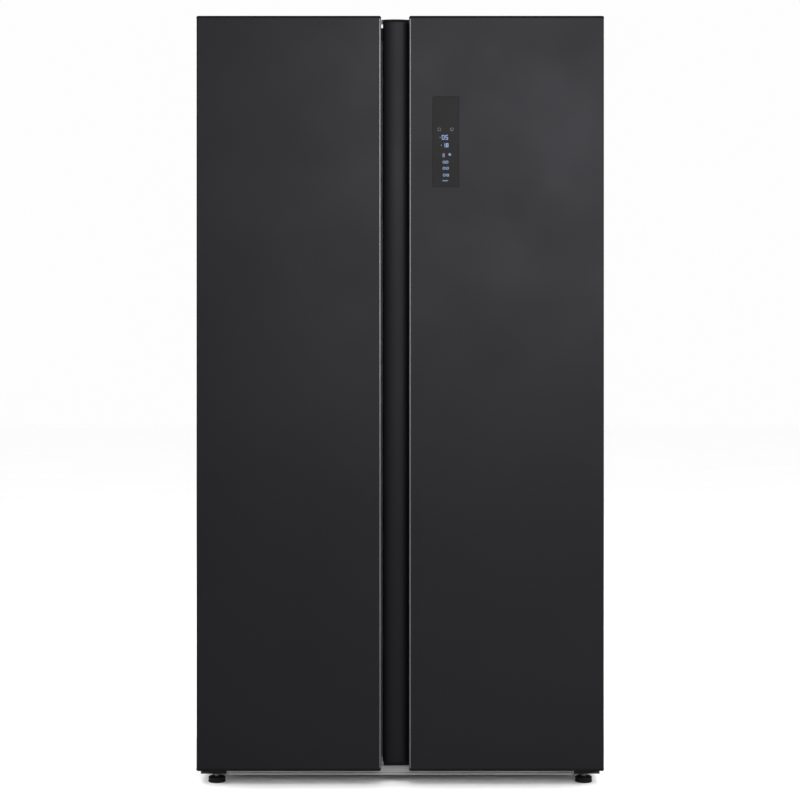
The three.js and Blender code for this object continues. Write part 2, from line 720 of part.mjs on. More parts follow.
// A pipe that runs through points with round bends, each step of it one straight or
// one slice of a bend.
class BentPipe extends THREE.Curve {
  constructor(points) {
    super();
    this.points = points;
  }
  getPoint(t, target = new THREE.Vector3()) {
    const at = t * (this.points.length - 1);
    const i = Math.min(Math.floor(at), this.points.length - 2);
    return target.lerpVectors(this.points[i], this.points[i + 1], at - i);
  }
  getPointAt(u, target) {
    return this.getPoint(u, target);
  }
  getTangentAt(u, target = new THREE.Vector3()) {
    const last = this.points.length - 1;
    const at = Math.round(u * last);
    const from = this.points[Math.max(at - 1, 0)];
    return target.subVectors(this.points[Math.min(at + 1, last)], from).normalize();
  }
}

function condenserCoil() {
  const [left, right] = [-365, -35];
  const pitch = 22;
  const rows = 8;
  const columns = [172, 224, 276];
  const points = [];
  let low = 48;
  let rising = 1;
  let toRight = true;
  const bend = (x, y, z, dy, dz) => {
    const steps = 5;
    const out = toRight ? 1 : -1;
    for (let k = 1; k < steps; k++) {
      const a = (Math.PI * k) / steps;
      const share = (1 - Math.cos(a)) / 2;
      points.push(new THREE.Vector3(x + (out * Math.sin(a) * Math.hypot(dy, dz)) / 2, y + dy * share, z + dz * share));
    }
  };
  columns.forEach((y, column) => {
    for (let row = 0; row < rows; row++) {
      const [from, to] = toRight ? [left, right] : [right, left];
      points.push(new THREE.Vector3(from, y, low), new THREE.Vector3(to, y, low));
      const last = row === rows - 1;
      if (last && column === columns.length - 1) break;
      bend(to, y, low, last ? columns[column + 1] - y : 0, last ? 0 : rising * pitch);
      if (!last) low += rising * pitch;
      toRight = !toRight;
    }
    rising = -rising;
  });
  const section = new THREE.Shape();
  section.absarc(0, 0, 3, 0, 2 * Math.PI);
  return new THREE.ExtrudeGeometry(section, {
    steps: points.length - 1,
    curveSegments: 3,
    extrudePath: new BentPipe(points),
    bevelEnabled: false,
  });
}

const COMPRESSOR = { x: 255, y: 226, radius: 80 };
function compressor() {
  const r = COMPRESSOR.radius;
  const can = turned(
    [
      [0, 14], [r * 0.7, 14], [r * 0.92, 24], [r, 40], [r, 80], [r + 3, 82], [r + 3, 88],
      [r, 90], [r, 126], [r * 0.9, 148], [r * 0.65, 164], [r * 0.3, 172], [0, 174],
    ],
    "z",
    [0, 0, 0],
  );
  const feet = [-92, 92].flatMap((x) =>
    [-60, 60].map((y) => rod(11, 0, 13, "z", [x, y, 0], 12)),
  );
  return join(
    can,
    box([-105, 105], [-72, 72], [11, 15]),
    ...feet,
    box([60, 108], [-35, 35], [43, 118]),
    rod(5, 133, 173, "z", [-62, 30, 0], 10),
    rod(4, 118, 178, "z", [-55, -40, 0], 10),
  );
}

const EVAPORATOR = { y: [200, 250], z: [332, 600] };
function evaporator() {
  const [x0, x1] = [FREEZER.left + 9, FREEZER.right - 9];
  const [near, far] = EVAPORATOR.y;
  const fins = 16;
  const pitch = (x1 - x0 - 2) / (fins - 1);
  const outline = [];
  for (let i = 0; i < fins; i++) {
    const x = x0 + i * pitch;
    outline.push([x, far - 4], [x, near], [x + 2, near], [x + 2, far - 4]);
  }
  outline[0] = [x0, far];
  outline[outline.length - 1] = [x1, far];
  return prismZ(shapeOf(outline), ...EVAPORATOR.z);
}

const EVAP_FAN = {
  x: (FREEZER.left + FREEZER.right) / 2,
  y: COVER_FRONT + 22,
  z: 722,
  tip: 54,
  hub: 18,
  thick: 18,
  blades: 7,
};
function evaporatorCover() {
  const { x, z, tip } = EVAP_FAN;
  const [y0, y1] = [COVER_FRONT, COVER_FRONT + 4];
  const sheet = box([FREEZER.left + 3, FREEZER.right - 3], [y0, y1], [STEP_Z + 2, CEILING_Z - 3]);
  const slots = [];
  for (let i = -3; i <= 3; i++) {
    const half = Math.sqrt((tip - 4) ** 2 - (i * 14) ** 2);
    slots.push(box([x - half, x + half], [y0 - 5, y1 + 5], [z + i * 14 - 4, z + i * 14 + 4]));
  }
  for (const top of [1110, 1490])
    for (let i = 0; i < 3; i++)
      slots.push(box([x - 70, x + 70], [y0 - 5, y1 + 5], [top + i * 16, top + i * 16 + 8]));
  for (let i = 0; i < 3; i++)
    slots.push(box([x - 90, x + 90], [y0 - 5, y1 + 5], [350 + i * 16, 358 + i * 16]));
  const spokes = box([x - 4, x + 4], [y0, y1], [z - tip, z + tip]);
  const motor = rod(16, y0 + 1, y1 + 8, "y", [x, 0, z]);
  return join(cut(sheet, ...slots), spokes, motor);
}

// The air duct up the back of the fresh-food compartment, with an outlet over each shelf.
const DUCT = { x: [129, 269], z: [505, 1640] };
function airDuct() {
  const back = BACK_WALL - GAP;
  const block = prismZ(roundRect(...DUCT.x, DUCT_FRONT, back + 10, 6), ...DUCT.z);
  const behind = box([DUCT.x[0] - 5, DUCT.x[1] + 5], [back, back + 20], [0, 2000]);
  const channel = box(
    [DUCT.x[0] + 3, DUCT.x[1] - 3],
    [DUCT_FRONT + 3, back + 5],
    [DUCT.z[0] + 3, DUCT.z[1] - 3],
  );
  const body = cut(block, behind, channel);
  const outlets = [640, 910, 1185, 1500].flatMap((z) =>
    [0, 1, 2].map((i) =>
      box([DUCT.x[0] + 25, DUCT.x[1] - 25], [DUCT_FRONT - 5, DUCT_FRONT + 8], [z + i * 14, z + i * 14 + 6]),
    ),
  );
  return cut(body, ...outlets);
}

function dripTray() {
  return tray([-392, -8], [146, 304], [216, 246], 2);
}

// The vented cover over the machine compartment.
const GLAND = { x: 395, z: 228, bore: 4, neck: 8.5 };
function machineCover() {
  const [y0, y1] = [CAB_BACK, CAB_BACK + 1.5];
  const slots = [];
  for (const x of [-330, -230, -130, 110, 210, 310])
    for (let i = 0; i < 5; i++)
      slots.push(box([x - 38, x + 38], [y0 - 5, y1 + 5], [90 + i * 20, 97 + i * 20]));
  const sheet = box([-450, 450], [y0, y1], [26, MACHINE_TOP - 1]);
  const hole = rod(GLAND.neck + 0.5, y0 - 5, y1 + 5, "y", [GLAND.x, 0, GLAND.z], 20);
  return cut(sheet, ...slots, hole);
}

// The rubber bush that the mains lead passes through.
function cordGland() {
  const { x, z, bore, neck } = GLAND;
  const [y0, y1] = [CAB_BACK - GAP, CAB_BACK + 1.5 + GAP];
  const wide = neck + 4;
  return turned(
    [
      [bore, y0 - 4], [wide, y0 - 4], [wide, y0], [neck, y0], [neck, y1],
      [wide, y1], [wide - 1, REAR], [bore, REAR], [bore, y0 - 4],
    ],
    "y",
    [x, 0, z],
    20,
  );
}

// ---------------------------------------------------------------- shelves and drawers
// A glass shelf: a pane held in a rim that is deeper along the front.
function shelf(room, back) {
  const x = [room.left + 2.5, room.right - 2.5];
  return join(
    box(x, [SHELF_FRONT, back], [0, 5]),
    box(x, [SHELF_FRONT - 3, SHELF_FRONT + 12], [0, 16]),
    box(x, [back - 8, back], [0, 12]),
  );
}

// A drawer: a tray whose front wall is thicker and has a grip rail along its top.
function drawer(room, back, height) {
  const [x0, x1] = [room.left + 3, room.right - 3];
  const body = tray([x0, x1], [FIT_FRONT, back], [0, height], 2.5);
  const front = box([x0, x1], [FIT_FRONT, FIT_FRONT + 5], [0, height]);
  const rail = cut(
    box([x0 + 50, x1 - 50], [FIT_FRONT - 16, FIT_FRONT + 1], [height - 24, height - 4]),
    box([x0 + 53, x1 - 53], [FIT_FRONT - 13, FIT_FRONT], [height - 30, height - 7]),
  );
  return join(body, front, rail);
}

// ---------------------------------------------------------------- assembly
const LEVELS = ["lower", "middle", "upper"];
const FREEZER_BINS = [600, 960, 1320];
const FRIDGE_BINS = [560, 925, 1290];
const FREEZER_SHELVES = [545, 900, 1270];
const FRIDGE_SHELVES = [760, 1035, 1310];
const CRISPER_COVER_Z = 484;
const FREEZER_SHELF_BACK = COVER_FRONT - 4;
const FRIDGE_SHELF_BACK = DUCT_FRONT - 4;
const LOWER_DRAWER = { z: FLOOR_Z + 6 + GAP, back: STEP_Y - 7, height: 204.7 };
const UPPER_DRAWER_Z = 316;

function group(parent) {
  const made = new THREE.Group();
  if (parent) parent.add(made);
  return made;
}

function add(parent, name, geometry, material, x = 0, y = 0, z = 0) {
  const mesh = new THREE.Mesh(geometry, material);
  mesh.name = name;
  mesh.position.set(x, y, z);
  parent.add(mesh);
}

const model = group();
const cabinet = group(model);

const shell = group(cabinet);
add(shell, "outer_case", outerCase(), caseSteel);
add(shell, "rear_panel", rearPanel(), greySteel);
add(shell, "centre_post_frame", centrePostFrame(), silverSteel);
add(shell, "base_frame", baseFrame(), greySteel);
add(shell, "cabinet_foam", cabinetFoam(), foam);

const linerFlange = { bottom: FLOOR_Z - LINER - 5 + GAP, top: CAB_TOP - LANDING - GAP };
const ledgesAt = (heights, back) => heights.map((z) => ({ z: z - GAP, back }));
const drawerLedge = { z: UPPER_DRAWER_Z - GAP, back: STEP_Y, height: 5.5 };
add(
  shell,
  "freezer_liner",
  liner(
    FREEZER,
    { left: -CAB_SIDE + LANDING + GAP, right: POST.left - GAP, ...linerFlange },
    [...ledgesAt(FREEZER_SHELVES, FREEZER_SHELF_BACK), drawerLedge],
  ),
  whitePlastic,
);
add(
  shell,
  "fridge_liner",
  liner(
    FRIDGE,
    { left: POST.right + GAP, right: CAB_SIDE - LANDING - GAP, ...linerFlange },
    [...ledgesAt([...FRIDGE_SHELVES, CRISPER_COVER_Z], FRIDGE_SHELF_BACK), drawerLedge],
  ),
  whitePlastic,
);

const hardware = group(cabinet);
for (const [side, sign] of [["left", -1], ["right", 1]]) {
  add(hardware, `top_hinge_${side}`, topHinge(sign), greySteel);
  add(hardware, `hinge_cover_${side}`, hingeCover(sign), blackPlastic);
  add(hardware, `bottom_hinge_${side}`, bottomHinge(sign), enamel);
  add(hardware, `foot_${side}`, foot(), blackPlastic, sign * FOOT.x, FOOT.y);
  add(hardware, `roller_${side}`, roller(), blackPlastic, sign * ROLLER.x, ROLLER.y, ROLLER.radius);
}

const cooling = group(cabinet);
const { x: fanX, y: fanY, z: fanZ } = CONDENSER_FAN;
add(cooling, "compressor", compressor(), enamel, COMPRESSOR.x, COMPRESSOR.y, PLATFORM);
add(cooling, "condenser_coil", condenserCoil(), copper);
add(cooling, "condenser_fan_shroud", condenserFanShroud(), blackPlastic);
add(cooling, "condenser_fan", fan(CONDENSER_FAN, "x"), blackPlastic, fanX, fanY, fanZ);
add(cooling, "drip_tray", dripTray(), blackPlastic);
add(cooling, "machine_cover", machineCover(), greySteel);
add(cooling, "cord_gland", cordGland(), blackRubber);
add(cooling, "evaporator", evaporator(), aluminium);
add(cooling, "evaporator_cover", evaporatorCover(), whitePlastic);
add(cooling, "evaporator_fan", fan(EVAP_FAN, "y"), whitePlastic, EVAP_FAN.x, EVAP_FAN.y, EVAP_FAN.z);
add(cooling, "fridge_air_duct", airDuct(), whitePlastic);

const fittings = group(cabinet);
LEVELS.forEach((level, i) => {
  const inFreezer = shelf(FREEZER, FREEZER_SHELF_BACK);
  const inFridge = shelf(FRIDGE, FRIDGE_SHELF_BACK);
  add(fittings, `freezer_shelf_${level}`, inFreezer, glass, 0, 0, FREEZER_SHELVES[i]);
  add(fittings, `fridge_shelf_${level}`, inFridge, glass, 0, 0, FRIDGE_SHELVES[i]);
});
add(fittings, "crisper_cover", shelf(FRIDGE, FRIDGE_SHELF_BACK), glass, 0, 0, CRISPER_COVER_Z);
for (const [name, room, lower, upper, upperBack, upperHeight] of [
  ["freezer", FREEZER, "freezer_drawer_lower", "freezer_drawer_upper", 165, 204],
  ["fridge", FRIDGE, "crisper_lower", "crisper_upper", 205, 154],
]) {
  const drawers = group(fittings);
  const { z, back, height } = LOWER_DRAWER;
  add(drawers, lower, drawer(room, back, height), clearPlastic, 0, 0, z);
  add(drawers, upper, drawer(room, upperBack, upperHeight), clearPlastic, 0, 0, UPPER_DRAWER_Z);
}

for (const [name, door, bins, grip] of [
  ["freezer", FREEZER_DOOR, FREEZER_BINS, freezerGrip],
  ["fridge", FRIDGE_DOOR, FRIDGE_BINS, fridgeGrip],
]) {
  const leaf = group(model);
  const skin = doorSkin(door);
  add(leaf, `${name}_door_skin`, door.display ? cut(skin, displayHole(GAP)) : skin, doorSteel);
  add(leaf, `${name}_door_foam`, doorFoam(door), foam);
  add(leaf, `${name}_door_liner`, doorLiner(door, bins), whitePlastic);
  add(leaf, `${name}_door_gasket`, doorGasket(door), rubber);
  add(leaf, `${name}_door_top_cap`, doorCap(door, true), blackPlastic);
  add(leaf, `${name}_door_bottom_cap`, doorCap(door, false), blackPlastic);
  add(leaf, `${name}_door_grip`, grip(), columnPlastic);
  if (door.display) add(leaf, "display_panel", displayPanel(), displayGlass);
  LEVELS.forEach((level, i) =>
    add(leaf, `${name}_bin_${level}`, bin(door), clearPlastic, 0, 0, bins[i]),
  );
}

export default model;
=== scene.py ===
"""The looks of a side by side refrigerator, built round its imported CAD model.

Metres, +Z up, -Y is the front. Lengths inside the helpers' arguments are millimetres,
because the CAD model's are, and MM turns them into metres.
"""
import math

import bmesh
import bpy
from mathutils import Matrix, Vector


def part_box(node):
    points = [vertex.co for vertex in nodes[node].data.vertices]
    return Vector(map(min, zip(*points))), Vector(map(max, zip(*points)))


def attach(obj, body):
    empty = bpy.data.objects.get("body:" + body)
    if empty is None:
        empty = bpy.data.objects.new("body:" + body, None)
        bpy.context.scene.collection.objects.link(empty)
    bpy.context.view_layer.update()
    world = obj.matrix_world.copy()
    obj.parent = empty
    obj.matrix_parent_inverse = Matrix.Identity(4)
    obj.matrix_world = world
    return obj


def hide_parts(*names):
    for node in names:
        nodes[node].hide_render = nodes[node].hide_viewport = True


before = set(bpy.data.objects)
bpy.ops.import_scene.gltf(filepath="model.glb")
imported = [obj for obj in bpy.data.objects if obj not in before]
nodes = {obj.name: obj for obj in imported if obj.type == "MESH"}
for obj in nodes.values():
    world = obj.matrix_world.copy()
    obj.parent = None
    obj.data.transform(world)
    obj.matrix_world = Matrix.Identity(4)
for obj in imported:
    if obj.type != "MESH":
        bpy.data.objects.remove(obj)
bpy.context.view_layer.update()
MM = 0.001


def limits(node):
    """A CAD node's low and high corner in millimetres."""
    low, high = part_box(node)
    return [v / MM for v in low], [v / MM for v in high]


# ------------------------------------------------------------------ materials
def material(
    name,
    color,
    rough,
    metal=0.0,
    shade=(6.0, 0.08),
    worn=(14.0, 0.05),
    relief=(900.0, 0.02, 0.15),
    stretch=(1.0, 1.0, 1.0),
    **sockets,
):
    """A Principled material whose colour and roughness drift a little and whose bump gives it grain.

    shade and worn are (noise scale, amount) for colour and roughness. relief is (noise scale, height in
    mm, strength). stretch scales the grain along each axis. sockets are set on the shader as they are."""
    made = bpy.data.materials.new(name)
    made.use_nodes = True
    tree = made.node_tree
    new, link = tree.nodes.new, tree.links.new
    bsdf = tree.nodes["Principled BSDF"]
    place = new("ShaderNodeTexCoord").outputs["Object"]

    def noise(scale, squeeze=(1.0, 1.0, 1.0), detail=3.0):
        mapping = new("ShaderNodeMapping")
        mapping.inputs["Scale"].default_value = squeeze
        link(place, mapping.inputs["Vector"])
        texture = new("ShaderNodeTexNoise")
        texture.inputs["Scale"].default_value = scale
        texture.inputs["Detail"].default_value = detail
        link(mapping.outputs["Vector"], texture.inputs["Vector"])
        return texture.outputs["Fac"]

    def spread(source, low, high):
        span = new("ShaderNodeMapRange")
        span.inputs["From Min"].default_value = 0.3
        span.inputs["From Max"].default_value = 0.7
        span.inputs["To Min"].default_value = low
        span.inputs["To Max"].default_value = high
        link(source, span.inputs["Value"])
        return span.outputs["Result"]

    tint = new("ShaderNodeMix")
    tint.data_type = "RGBA"
    lift = shade[1]
    tint.inputs[6].default_value = [c * (1 - lift) for c in color] + [1.0]
    tint.inputs[7].default_value = [min(1.0, c * (1 + lift)) for c in color] + [1.0]
    link(spread(noise(shade[0]), 0.0, 1.0), tint.inputs["Factor"])
    link(tint.outputs[2], bsdf.inputs["Base Color"])

    blur = spread(noise(worn[0], stretch), max(0.02, rough - worn[1]), min(1.0, rough + worn[1]))
    link(blur, bsdf.inputs["Roughness"])

    if relief:
        bump = new("ShaderNodeBump")
        bump.inputs["Strength"].default_value = relief[2]
        bump.inputs["Distance"].default_value = relief[1] * MM
        link(noise(relief[0], stretch, 2.0), bump.inputs["Height"])
        link(bump.outputs["Normal"], bsdf.inputs["Normal"])

    bsdf.inputs["Metallic"].default_value = metal
    for socket, value in sockets.items():
        bsdf.inputs[socket.replace("_", " ")].default_value = value
    return made


# How bright a metal stays where it is seen nearly edge on.
EDGE_DARK = (0.12, 0.12, 0.12, 1.0)
EDGE_SOFT = (0.4, 0.4, 0.4, 1.0)
DOOR = material("door_black_steel", (0.0122, 0.0122, 0.0134), 0.40, 0.97,
                shade=(2.2, 0.05), worn=(5.0, 0.03), relief=(1400.0, 0.012, 0.10),
                Specular_Tint=EDGE_DARK)
CASE = material("case_black_steel", (0.026, 0.026, 0.028), 0.46, 0.9,
                shade=(3.0, 0.06), worn=(6.0, 0.04), relief=(700.0, 0.05, 0.25),
                Specular_Tint=EDGE_SOFT)
SILVER = material("rail_silver_paint", (0.20, 0.20, 0.205), 0.55, 0.15,
                  shade=(9.0, 0.06), worn=(22.0, 0.06), relief=(900.0, 0.01, 0.2), stretch=(0.05, 1, 1))
# A darker grey for a strip on the centre post between the gaskets: painted shade for the narrow gap between
# the doors.
POST_SHADE_GREY = material("post_painted_shade_grey", (0.085, 0.085, 0.09), 0.5, 0.1,
                     shade=(9.0, 0.06), worn=(22.0, 0.06), relief=(900.0, 0.01, 0.2))
# Galvanised base steel darkened to nearly black: painted shade under the cabinet.
BASE_SHADE_GREY = material("base_galvanised_painted_shade", (0.030, 0.030, 0.032), 0.5, 0.6,
                     shade=(18.0, 0.14), worn=(45.0, 0.08), relief=(420.0, 0.02, 0.2))
# A lighter steel for the strip round each door's free edge: a painted highlight along the bend.
EDGE_HIGHLIGHT_STEEL = material("door_edge_painted_highlight_steel", (0.105, 0.105, 0.108), 0.34, 0.97,
                      shade=(4.0, 0.06), worn=(8.0, 0.04), relief=(1400.0, 0.01, 0.1),
                      Specular_Tint=EDGE_DARK)
ZINC = material("zinc_plated_steel", (0.50, 0.51, 0.53), 0.38, 0.95,
                shade=(30.0, 0.12), worn=(55.0, 0.10), relief=(420.0, 0.02, 0.2))
BLACK_STEEL = material("hinge_black_paint", (0.0045, 0.0045, 0.005), 0.42,
                       shade=(20.0, 0.10), relief=(1100.0, 0.02, 0.25), Specular_IOR_Level=0.07)
FOAM = material("foam_core", (0.78, 0.66, 0.36), 0.9, shade=(25.0, 0.12), relief=(500.0, 0.3, 0.5))
WHITE = material("white_moulded_liner", (0.50, 0.515, 0.53), 0.40,
                 shade=(1.6, 0.012), worn=(3.0, 0.025), relief=(1300.0, 0.012, 0.10))
WHITE_SATIN = material("white_satin_plastic", (0.52, 0.535, 0.55), 0.44,
                       shade=(3.0, 0.02), worn=(5.0, 0.03), relief=(1300.0, 0.02, 0.2))
BLACK = material("black_moulded_plastic", (0.006, 0.006, 0.0065), 0.46,
                 shade=(12.0, 0.08), worn=(20.0, 0.06), relief=(1500.0, 0.03, 0.3), Specular_IOR_Level=0.07)
CAP = material("door_cap_plastic", (0.0035, 0.0035, 0.004), 0.44,
               shade=(12.0, 0.08), worn=(20.0, 0.05), relief=(1500.0, 0.02, 0.2), Specular_IOR_Level=0.03)
GRIP = material("grip_column_satin", (0.0098, 0.0098, 0.0107), 0.42, 0.97,
                shade=(2.4, 0.05), worn=(6.0, 0.03), relief=(1500.0, 0.012, 0.12), Specular_Tint=EDGE_DARK)
CLEAR = material("clear_moulded_plastic", (0.955, 0.975, 0.985), 0.06,
                 shade=(4.0, 0.01), worn=(16.0, 0.03), relief=(180.0, 0.01, 0.05),
                 Transmission_Weight=1.0, IOR=1.28)
FROST = material("frosted_drawer_front", (0.86, 0.91, 0.94), 0.26,
                 shade=(4.0, 0.01), worn=(3.0, 0.02), relief=(1300.0, 0.01, 0.08),
                 Transmission_Weight=0.82, IOR=1.28)
GLASS = material("shelf_glass", (0.86, 0.95, 0.93), 0.035,
                 shade=(4.0, 0.02), worn=(12.0, 0.015), relief=(60.0, 0.01, 0.03),
                 Transmission_Weight=0.95, IOR=1.45)
TRIM = material("shelf_trim_satin_silver", (0.60, 0.61, 0.63), 0.28, 0.85,
                shade=(8.0, 0.04), worn=(20.0, 0.05), relief=(900.0, 0.01, 0.15), stretch=(0.05, 1, 1))
SCREEN = material("display_smoked_glass", (0.0026, 0.0026, 0.0029), 0.30,
                  shade=(8.0, 0.04), worn=(12.0, 0.02), relief=(1200.0, 0.004, 0.05), Specular_IOR_Level=0.06)
GASKET = material("gasket_grey_pvc", (0.115, 0.12, 0.125), 0.62,
                  shade=(18.0, 0.08), worn=(24.0, 0.06), relief=(700.0, 0.04, 0.3))
RUBBER = material("black_rubber", (0.014, 0.014, 0.014), 0.72,
                  shade=(18.0, 0.10), relief=(900.0, 0.05, 0.4))
COPPER = material("copper_tube", (0.62, 0.27, 0.14), 0.30, 1.0,
                  shade=(40.0, 0.18), worn=(60.0, 0.10), relief=(500.0, 0.01, 0.15))
ALUMINIUM = material("bare_aluminium_fin", (0.72, 0.73, 0.74), 0.36, 1.0,
                     shade=(30.0, 0.06), worn=(40.0, 0.08), relief=(700.0, 0.02, 0.2))
SCREW = material("screw_head_steel", (0.42, 0.42, 0.43), 0.30, 1.0,
                 shade=(80.0, 0.12), worn=(90.0, 0.08), relief=(1200.0, 0.01, 0.2))


def glow(name, color, strength, base=(0.8, 0.8, 0.8)):
    """A lit surface, such as a lamp's diffuser or a printed icon with a light behind it."""
    made = material(name, base, 0.35, shade=(30.0, 0.03), relief=(1500.0, 0.01, 0.1))
    bsdf = made.node_tree.nodes["Principled BSDF"]
    bsdf.inputs["Emission Color"].default_value = (*color, 1.0)
    bsdf.inputs["Emission Strength"].default_value = strength
    return made


LAMP = glow("lamp_diffuser", (1.0, 0.97, 0.92), 3.0)
DIGIT = glow("display_digit", (0.36, 0.56, 1.0), 0.62, (0.05, 0.07, 0.12))
ICON_BLUE = glow("display_icon_blue", (0.22, 0.34, 0.95), 0.16, (0.03, 0.04, 0.08))
ICON_DIM = glow("display_icon_dim", (0.6, 0.6, 0.62), 0.09, (0.03, 0.03, 0.03))


# ------------------------------------------------------------------ building pieces
def settle(piece, look, body, replaces=(), sharp=38.0):
    """Shades a new piece, gives it its material and slot, and makes it ride on its body."""
    mesh = piece.data
    mesh.materials.clear()
    mesh.materials.append(look)
    mesh.polygons.foreach_set("use_smooth", [True] * len(mesh.polygons))
    mesh.set_sharp_from_angle(angle=math.radians(sharp))
    weighted = piece.modifiers.new("even_normals", "WEIGHTED_NORMAL")
    weighted.keep_sharp = True
    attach(piece, body)
    if replaces:
        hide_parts(*replaces)
    return piece


def object_of(name, bm):
    """A new object from a bmesh in millimetres."""
    bmesh.ops.recalc_face_normals(bm, faces=bm.faces)
    bmesh.ops.scale(bm, vec=(MM, MM, MM), verts=bm.verts)
    mesh = bpy.data.meshes.new(name)
    bm.to_mesh(mesh)
    bm.free()
    piece = bpy.data.objects.new(name, mesh)
    bpy.context.scene.collection.objects.link(piece)
    return piece


def loft(bm, rings, closed=False):
    """Skins rings of equal length, one list of points each; the ends are capped unless closed."""
    made = [[bm.verts.new(p) for p in ring] for ring in rings]
    pairs = list(zip(made, made[1:] + made[:1])) if closed else list(zip(made, made[1:]))
    for near, far in pairs:
        for i in range(len(near)):
            j = (i + 1) % len(near)
            bm.faces.new((near[i], near[j], far[j], far[i]))
    if not closed:
        bm.faces.new(list(reversed(made[0])))
        bm.faces.new(made[-1])


def round_rect(x0, x1, y0, y1, r, steps=6):
    """The corners of a rectangle with round corners, anticlockwise."""
    points = []
    corners = ((x1 - r, y0 + r, -90), (x1 - r, y1 - r, 0), (x0 + r, y1 - r, 90), (x0 + r, y0 + r, 180))
    for cx, cy, start in corners:
        for k in range(steps + 1):
            a = math.radians(start + 90 * k / steps)
            points.append((cx + r * math.cos(a), cy + r * math.sin(a)))
    return points


def along(axis, outline, at):
    """An outline of two coordinates placed across an axis: X takes (y, z), Y takes (x, z), Z takes (x, y)."""
    if axis == "x":
        return [(at, a, b) for a, b in outline]
    if axis == "y":
        return [(a, at, b) for a, b in outline]
    return [(a, b, at) for a, b in outline]


def inset(outline, by):
    """A convex or nearly convex outline moved inwards, for the rounding at a prism's ends."""
    count = len(outline)
    moved = []
    area = sum(outline[i][0] * outline[(i + 1) % count][1] - outline[(i + 1) % count][0] * outline[i][1]
               for i in range(count))
    side = 1.0 if area > 0 else -1.0
    for i in range(count):
        p, q, s = (Vector(outline[(i + d) % count]) for d in (-1, 0, 1))
        first, second = (q - p).normalized(), (s - q).normalized()
        normal = Vector((-first.y - second.y, first.x + second.x))
        if normal.length < 1e-6:
            moved.append(tuple(q))
            continue
        normal.normalize()
        share = max(0.35, normal.dot(Vector((-first.y, first.x))))
        moved.append(tuple(q + normal * (side * by / share)))
    return moved


def prism(name, outline, axis, low, high, edge=0.6, steps=2):
    """An outline run along an axis, its ends rounded by edge."""
    bm = bmesh.new()
    rings = []
    for k in range(steps + 1):
        a = math.radians(90 * k / steps)
        rings.append(along(axis, inset(outline, edge * (1 - math.sin(a))), low + edge * (1 - math.cos(a))))
    for k in range(steps + 1):
        a = math.radians(90 * k / steps)
        rings.append(along(axis, inset(outline, edge * (1 - math.cos(a))), high - edge * (1 - math.sin(a))))
    if edge <= 0:
        rings = [along(axis, outline, low), along(axis, outline, high)]
    loft(bm, rings)
    return object_of(name, bm)


def block(name, low, high, edge=1.0, steps=3):
    """A box with every edge rounded."""
    bm = bmesh.new()
    bmesh.ops.create_cube(bm, size=1.0)
    size = [h - l for l, h in zip(low, high)]
    middle = [(l + h) / 2 for l, h in zip(low, high)]
    bmesh.ops.scale(bm, vec=size, verts=bm.verts)
    bmesh.ops.translate(bm, vec=middle, verts=bm.verts)
    bmesh.ops.bevel(bm, geom=bm.edges[:], offset=min(edge, min(size) * 0.45), segments=steps,
                    profile=0.5, affect="EDGES")
    return object_of(name, bm)


def turned(name, profile, centre, axis="z", count=40):
    """A profile of (radius, height) turned about an axis through a point."""
    bm = bmesh.new()
    rings = []
    for radius, height in profile:
        ring = []
        for i in range(count):
            a = 2 * math.pi * i / count
            u, v = max(radius, 0.02) * math.cos(a), max(radius, 0.02) * math.sin(a)
            ring.append({"z": (u, v, height), "y": (u, height, v), "x": (height, u, v)}[axis])
        rings.append([tuple(c + p for c, p in zip(centre, point)) for point in ring])
    loft(bm, rings)
    return object_of(name, bm)


def bent_sheet(path, thickness, radius, steps):
    """A bent sheet's outline: a path with a bend at each corner, thickened to its left."""
    near, far = [], []

    def put(point, normal):
        near.append(tuple(point))
        far.append(tuple(point + normal * thickness))

    points = [Vector(p) for p in path]
    for i, here in enumerate(points):
        into = (here - points[i - 1]).normalized() if i else None
        out = (points[i + 1] - here).normalized() if i + 1 < len(points) else None
        if into is None or out is None:
            way = into or out
            put(here, Vector((-way.y, way.x)))
            continue
        turn = math.atan2(into.cross(out), into.dot(out))
        side = 1.0 if turn > 0 else -1.0
        reach = radius * math.tan(abs(turn) / 2)
        left = Vector((-into.y, into.x))
        centre = here - into * reach + left * radius * side
        count = max(2, int(steps * abs(turn) / (math.pi / 2)) + 1) if abs(turn) > 0.3 else 1
        for k in range(count + 1):
            a = turn * k / count
            normal = left * math.cos(a) - into * math.sin(a)
            put(centre - normal * radius * side, normal)
    return near + far[::-1]


def cut(piece, *cutters):
    """Cuts pieces out of one, and throws the cutters away."""
    for cutter in cutters:
        boolean = piece.modifiers.new("cut", "BOOLEAN")
        boolean.operation = "DIFFERENCE"
        boolean.solver = "EXACT"
        boolean.object = cutter
    bpy.context.view_layer.update()
    graph = bpy.context.evaluated_depsgraph_get()
    mesh = bpy.data.meshes.new_from_object(piece.evaluated_get(graph))
    piece.modifiers.clear()
    old = piece.data
    piece.data = mesh
    bpy.data.meshes.remove(old)
    for cutter in cutters:
        bpy.data.objects.remove(cutter)
    return piece


def soften(node, look, width=0.5, steps=2, angle=30.0):
    """A CAD node that stays: its flat faces are made whole, its edges rounded, and it gets its material."""
    piece = nodes[node]
    piece.data.materials.clear()
    piece.data.materials.append(look)
    weld = piece.modifiers.new("weld", "WELD")
    weld.merge_threshold = 2e-6
    flat = piece.modifiers.new("whole_faces", "DECIMATE")
    flat.decimate_type = "DISSOLVE"
    flat.angle_limit = math.radians(0.6)
    if width:
        bevel = piece.modifiers.new("rounded_edges", "BEVEL")
        bevel.width = width * MM
        bevel.segments = steps
        bevel.limit_method = "ANGLE"
        bevel.angle_limit = math.radians(angle)
        bevel.use_clamp_overlap = True
    weighted = piece.modifiers.new("even_normals", "WEIGHTED_NORMAL")
    weighted.keep_sharp = False
    return piece


